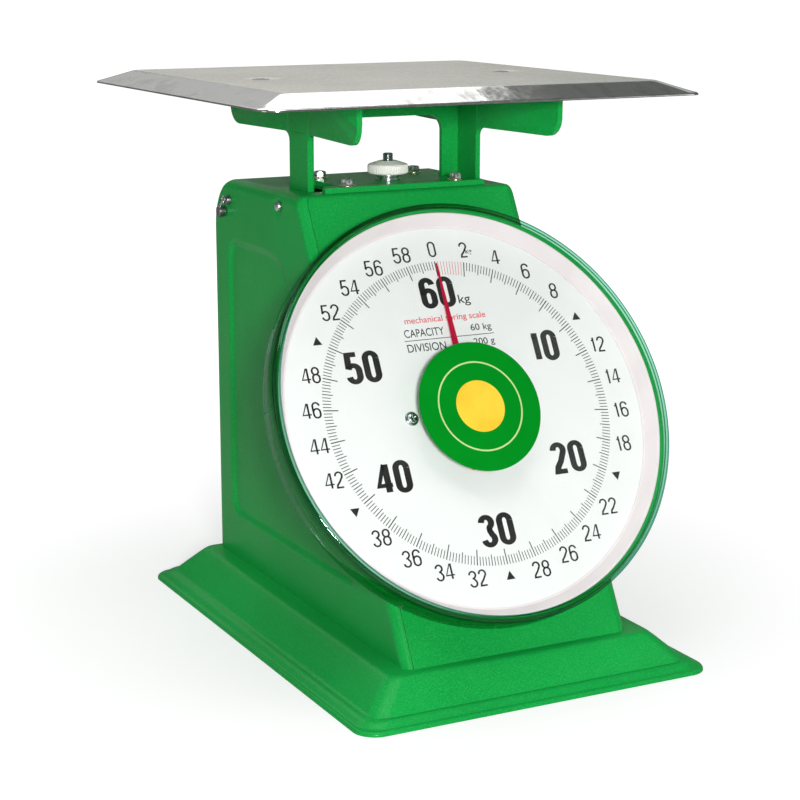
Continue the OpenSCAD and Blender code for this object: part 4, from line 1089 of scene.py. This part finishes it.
def seal():
    """Lead slug hanging from a drilled screw by two twisted strands, with a knot and a cut end."""
    low, high = mm_box("seal_slug")
    slug_y, slug_z = mm_middle("seal_slug")[1:]
    y0, z0 = mm_middle("seal_screw")[1:]
    r, thick = (high[2] - low[2]) / 2, high[0] - low[0]
    left = ((0, -1, 0), (0, 0, 1), (-1, 0, 0))
    prof = rounded([(0, 0), (r - 0.3, 0), (r, 0.5), (r, thick - 0.9), (r - 0.7, thick), (r * 0.55, thick),
                    (r * 0.5, thick - 0.5), (0, thick - 0.5)], 0.3)

    def crimp(radius, height, angle):
        return radius * (1 - 0.05 * cos(2 * angle) - 0.02 * sin(5 * angle + height))

    lathe("slug_crimped", prof, Place((high[0], slug_y, slug_z), *left), LEAD, "frame", "seal_lead",
          ["seal_slug"], segs=64, wave=crimp)
    pan_head("seal_screw_head", Place((-HALF, y0, z0), *left), 3.9, 4.1, "frame", LEAD, ["seal_screw"])

    def strand(t, phase):
        bow = sin(pi * t)
        twist = phase + t * TAU * 2.5
        return (-HALF - 4.9 - 0.5 * cos(twist) - 0.5 * bow,
                y0 + (slug_y - y0) * t + bow * 1.9 * 0.35 + 0.55 * sin(twist),
                z0 + (slug_z - z0) * t + bow * 1.9 * 0.35)

    def knot(t):
        a = t * TAU * 2.2 + 0.6
        rad = 2.1 + 0.9 * sin(3 * a)
        return (-HALF - 4.5 - 0.5 * sin(2 * a) - 0.4 * t, y0 + rad * cos(a),
                z0 + rad * 0.9 * sin(a))

    def tail(t):
        return (-HALF - 5.0 - 0.5 * t, y0 + 1.5 - 5.4 * t + 1.2 * sin(3 * t),
                z0 + 1.0 + 2.4 * sin(2.6 * t))

    wires = (("seal_strand_0", 64, 0.42, lambda t: strand(t, 0), ["seal_wire"]),
             ("seal_strand_1", 64, 0.42, lambda t: strand(t, pi), []),
             ("seal_knot", 90, 0.42, knot, []), ("seal_tail", 20, 0.4, tail, []))
    for name, count, radius, path, stands_for in wires:
        points = [path(k / (count - 1)) for k in range(count)]
        tube(name, points, radius, ZINC, "frame", "zinc_steel", stands_for)


# ---------- springs ----------

def spring_coils():
    """Wound tension springs that stretch between the frame and the platform."""
    wire, turns = 2.2, 17
    steps = turns * 36
    for node in ("left_spring", "right_spring"):
        low, high = mm_box(node)
        cx, cy = (low[0] + high[0]) / 2, (low[1] + high[1]) / 2
        mean = (high[0] - low[0]) / 2 - wire
        points = []
        for k in range(steps + 1):
            a = TAU * turns * k / steps
            z = low[2] + wire + (high[2] - low[2] - 2 * wire) * k / steps
            points.append((cx + mean * cos(a), cy + mean * sin(a), z))
        piece = tube(node + "_wound", points, wire, SPRING, None, "spring_steel", [node])
        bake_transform(piece)


# ---------- finishes on the nodes that stay ----------

FINISH = (
    (ZINC, ("base_screws", "base_nuts", "spring_hanger", "upper_spring_plugs", "lower_spring_plugs",
            "platter_nuts", "upper_lever", "lower_lever", "left_post", "right_post", "drive_arm",
            "drum_screws", "dial_standoffs", "movement_pillars", "rack_guide")),
    (BRIGHT, ("back_cover_screws", "guide_pins", "upper_lever_pin", "lower_lever_pin", "pointer_shaft",
              "rack_pin")),
    (BRASS, ("movement_front_plate", "movement_rear_plate", "front_bearing", "rear_bearing", "pinion",
             "pointer_collar", "pointer_cap", "rack")),
    (GREEN, ("lower_yoke",)),
    (RUBBER, ("travel_stops",)),
)


def finish_nodes():
    for mat, nodes in FINISH:
        for node in nodes:
            mesh = NODES[node].data
            mesh.materials.clear()
            mesh.materials.append(mat)


# ---------- stage, light, camera ----------

def pale_floor():
    """Matt floor that fades to white further out and lights the object only a little."""
    mesh = bpy.data.meshes.new("floor")
    s = 8.0
    mesh.from_pydata([(-s, -s, 0), (s, -s, 0), (s, s, 0), (-s, s, 0)], [], [(0, 1, 2, 3)])
    floor = bpy.data.objects.new("floor", mesh)
    bpy.context.scene.collection.objects.link(floor)
    mat, tree, shader, coord = new_material("pale_floor")
    cloud = span(tree, noise(tree, coord, 2.0, 2.0), 0.0, 1.0)
    tree.links.new(blend_color(tree, cloud, (0.50, 0.50, 0.50), (0.52, 0.52, 0.52)),
                   shader.inputs["Base Color"])
    shader.inputs["Roughness"].default_value = 0.9
    shader.inputs["Emission Color"].default_value = (1, 1, 1, 1)
    far = add(tree, "VectorMath", (), {0: coord.outputs["Object"]})
    far.operation = "LENGTH"
    rays = add(tree, "LightPath")
    seen = add(tree, "Math", (), {0: span(tree, rays.outputs["Is Camera Ray"], 0.12, 1.0, 0.0, 1.0),
                                  1: span(tree, far.outputs["Value"], 0.56, 1.0, 0.2, 1.2)})
    seen.operation = "MULTIPLY"
    tree.links.new(seen.outputs["Value"], shader.inputs["Emission Strength"])
    mesh.materials.append(mat)


def white_world():
    """White behind the object, and a much weaker light on it."""
    world = bpy.data.worlds.new("studio")
    bpy.context.scene.world = world
    world.use_nodes = True
    tree = world.node_tree
    back = tree.nodes["Background"]
    back.inputs["Color"].default_value = (1, 1, 1, 1)
    back.inputs["Strength"].default_value = 1.05
    dim = add(tree, "Background", {"Color": (0.96, 1.0, 0.98, 1), "Strength": 0.13})
    rays = add(tree, "LightPath")
    mix = add(tree, "MixShader", (), {"Fac": rays.outputs["Is Camera Ray"], 1: dim.outputs["Background"],
                                      2: back.outputs["Background"]})
    tree.links.new(mix.outputs["Shader"], tree.nodes["World Output"].inputs["Surface"])


LIGHTS = (
    # name, place, aim, size, power
    ("key", (-0.80, -2.1, 0.68), (0, 0, 0.22), (0.25, 0.25), 38),
    ("fill_right", (1.6, -1.2, 1.1), (0, 0, 0.2), (1.2, 1.2), 3),
    ("top", (-0.2, -0.3, 1.9), (0, 0, 0.3), (1.4, 1.4), 15),
    ("left", (-2.0, 0.1, 0.8), (0, 0, 0.2), (1.0, 1.2), 2),
    ("back_low", (0.6, 2.1, 1.2), (0, 0, 0.4), (2.6, 0.8), 2.2),
    ("back", (0.1, 1.7, 1.85), (0, 0, 0.35), (2.4, 1.1), 11),
)


def studio():
    pale_floor()
    white_world()
    for name, spot, aim, size, power in LIGHTS:
        light = bpy.data.lights.new(name, "AREA")
        light.shape = "RECTANGLE"
        light.size, light.size_y = size
        light.energy = power
        holder = bpy.data.objects.new(name, light)
        bpy.context.scene.collection.objects.link(holder)
        holder.location = spot
        holder.visible_camera = False
        holder.rotation_euler = (Vector(aim) - Vector(spot)).to_track_quat("-Z", "Y").to_euler()


def camera():
    az, el, roll = radians(-27.03), radians(12.95), radians(-0.05)
    back = Vector((sin(az) * cos(el), -cos(az) * cos(el), sin(el)))
    right = Vector((cos(az), sin(az), 0))
    up = back.cross(right)
    right, up = right * cos(roll) + up * sin(roll), up * cos(roll) - right * sin(roll)
    data = bpy.data.cameras.new("camera")
    data.sensor_width = 36.0
    data.lens = 88.74
    data.shift_x = 0.0100
    data.shift_y = 0.0034
    data.clip_end = 50
    holder = bpy.data.objects.new("camera", data)
    bpy.context.scene.collection.objects.link(holder)
    turn = Matrix((right, up, back)).transposed().to_4x4()
    turn.translation = Vector((-0.67021, -1.28920, 0.50391))
    holder.matrix_world = turn
    bpy.context.scene.camera = holder


camera()
studio()
finish_nodes()
base_pan()
casing()
platter()
supports()
refine("top_bridge", GREEN, 0.45)
refine("back_cover", GREEN, 0.35)
dial_housing()
lens_cover()
lens_label()
dial_print()
pointer()
knob_and_stud()
top_screws()
small_screws()
seal()
spring_coils()
bpy.context.scene.view_settings.view_transform = "Standard"
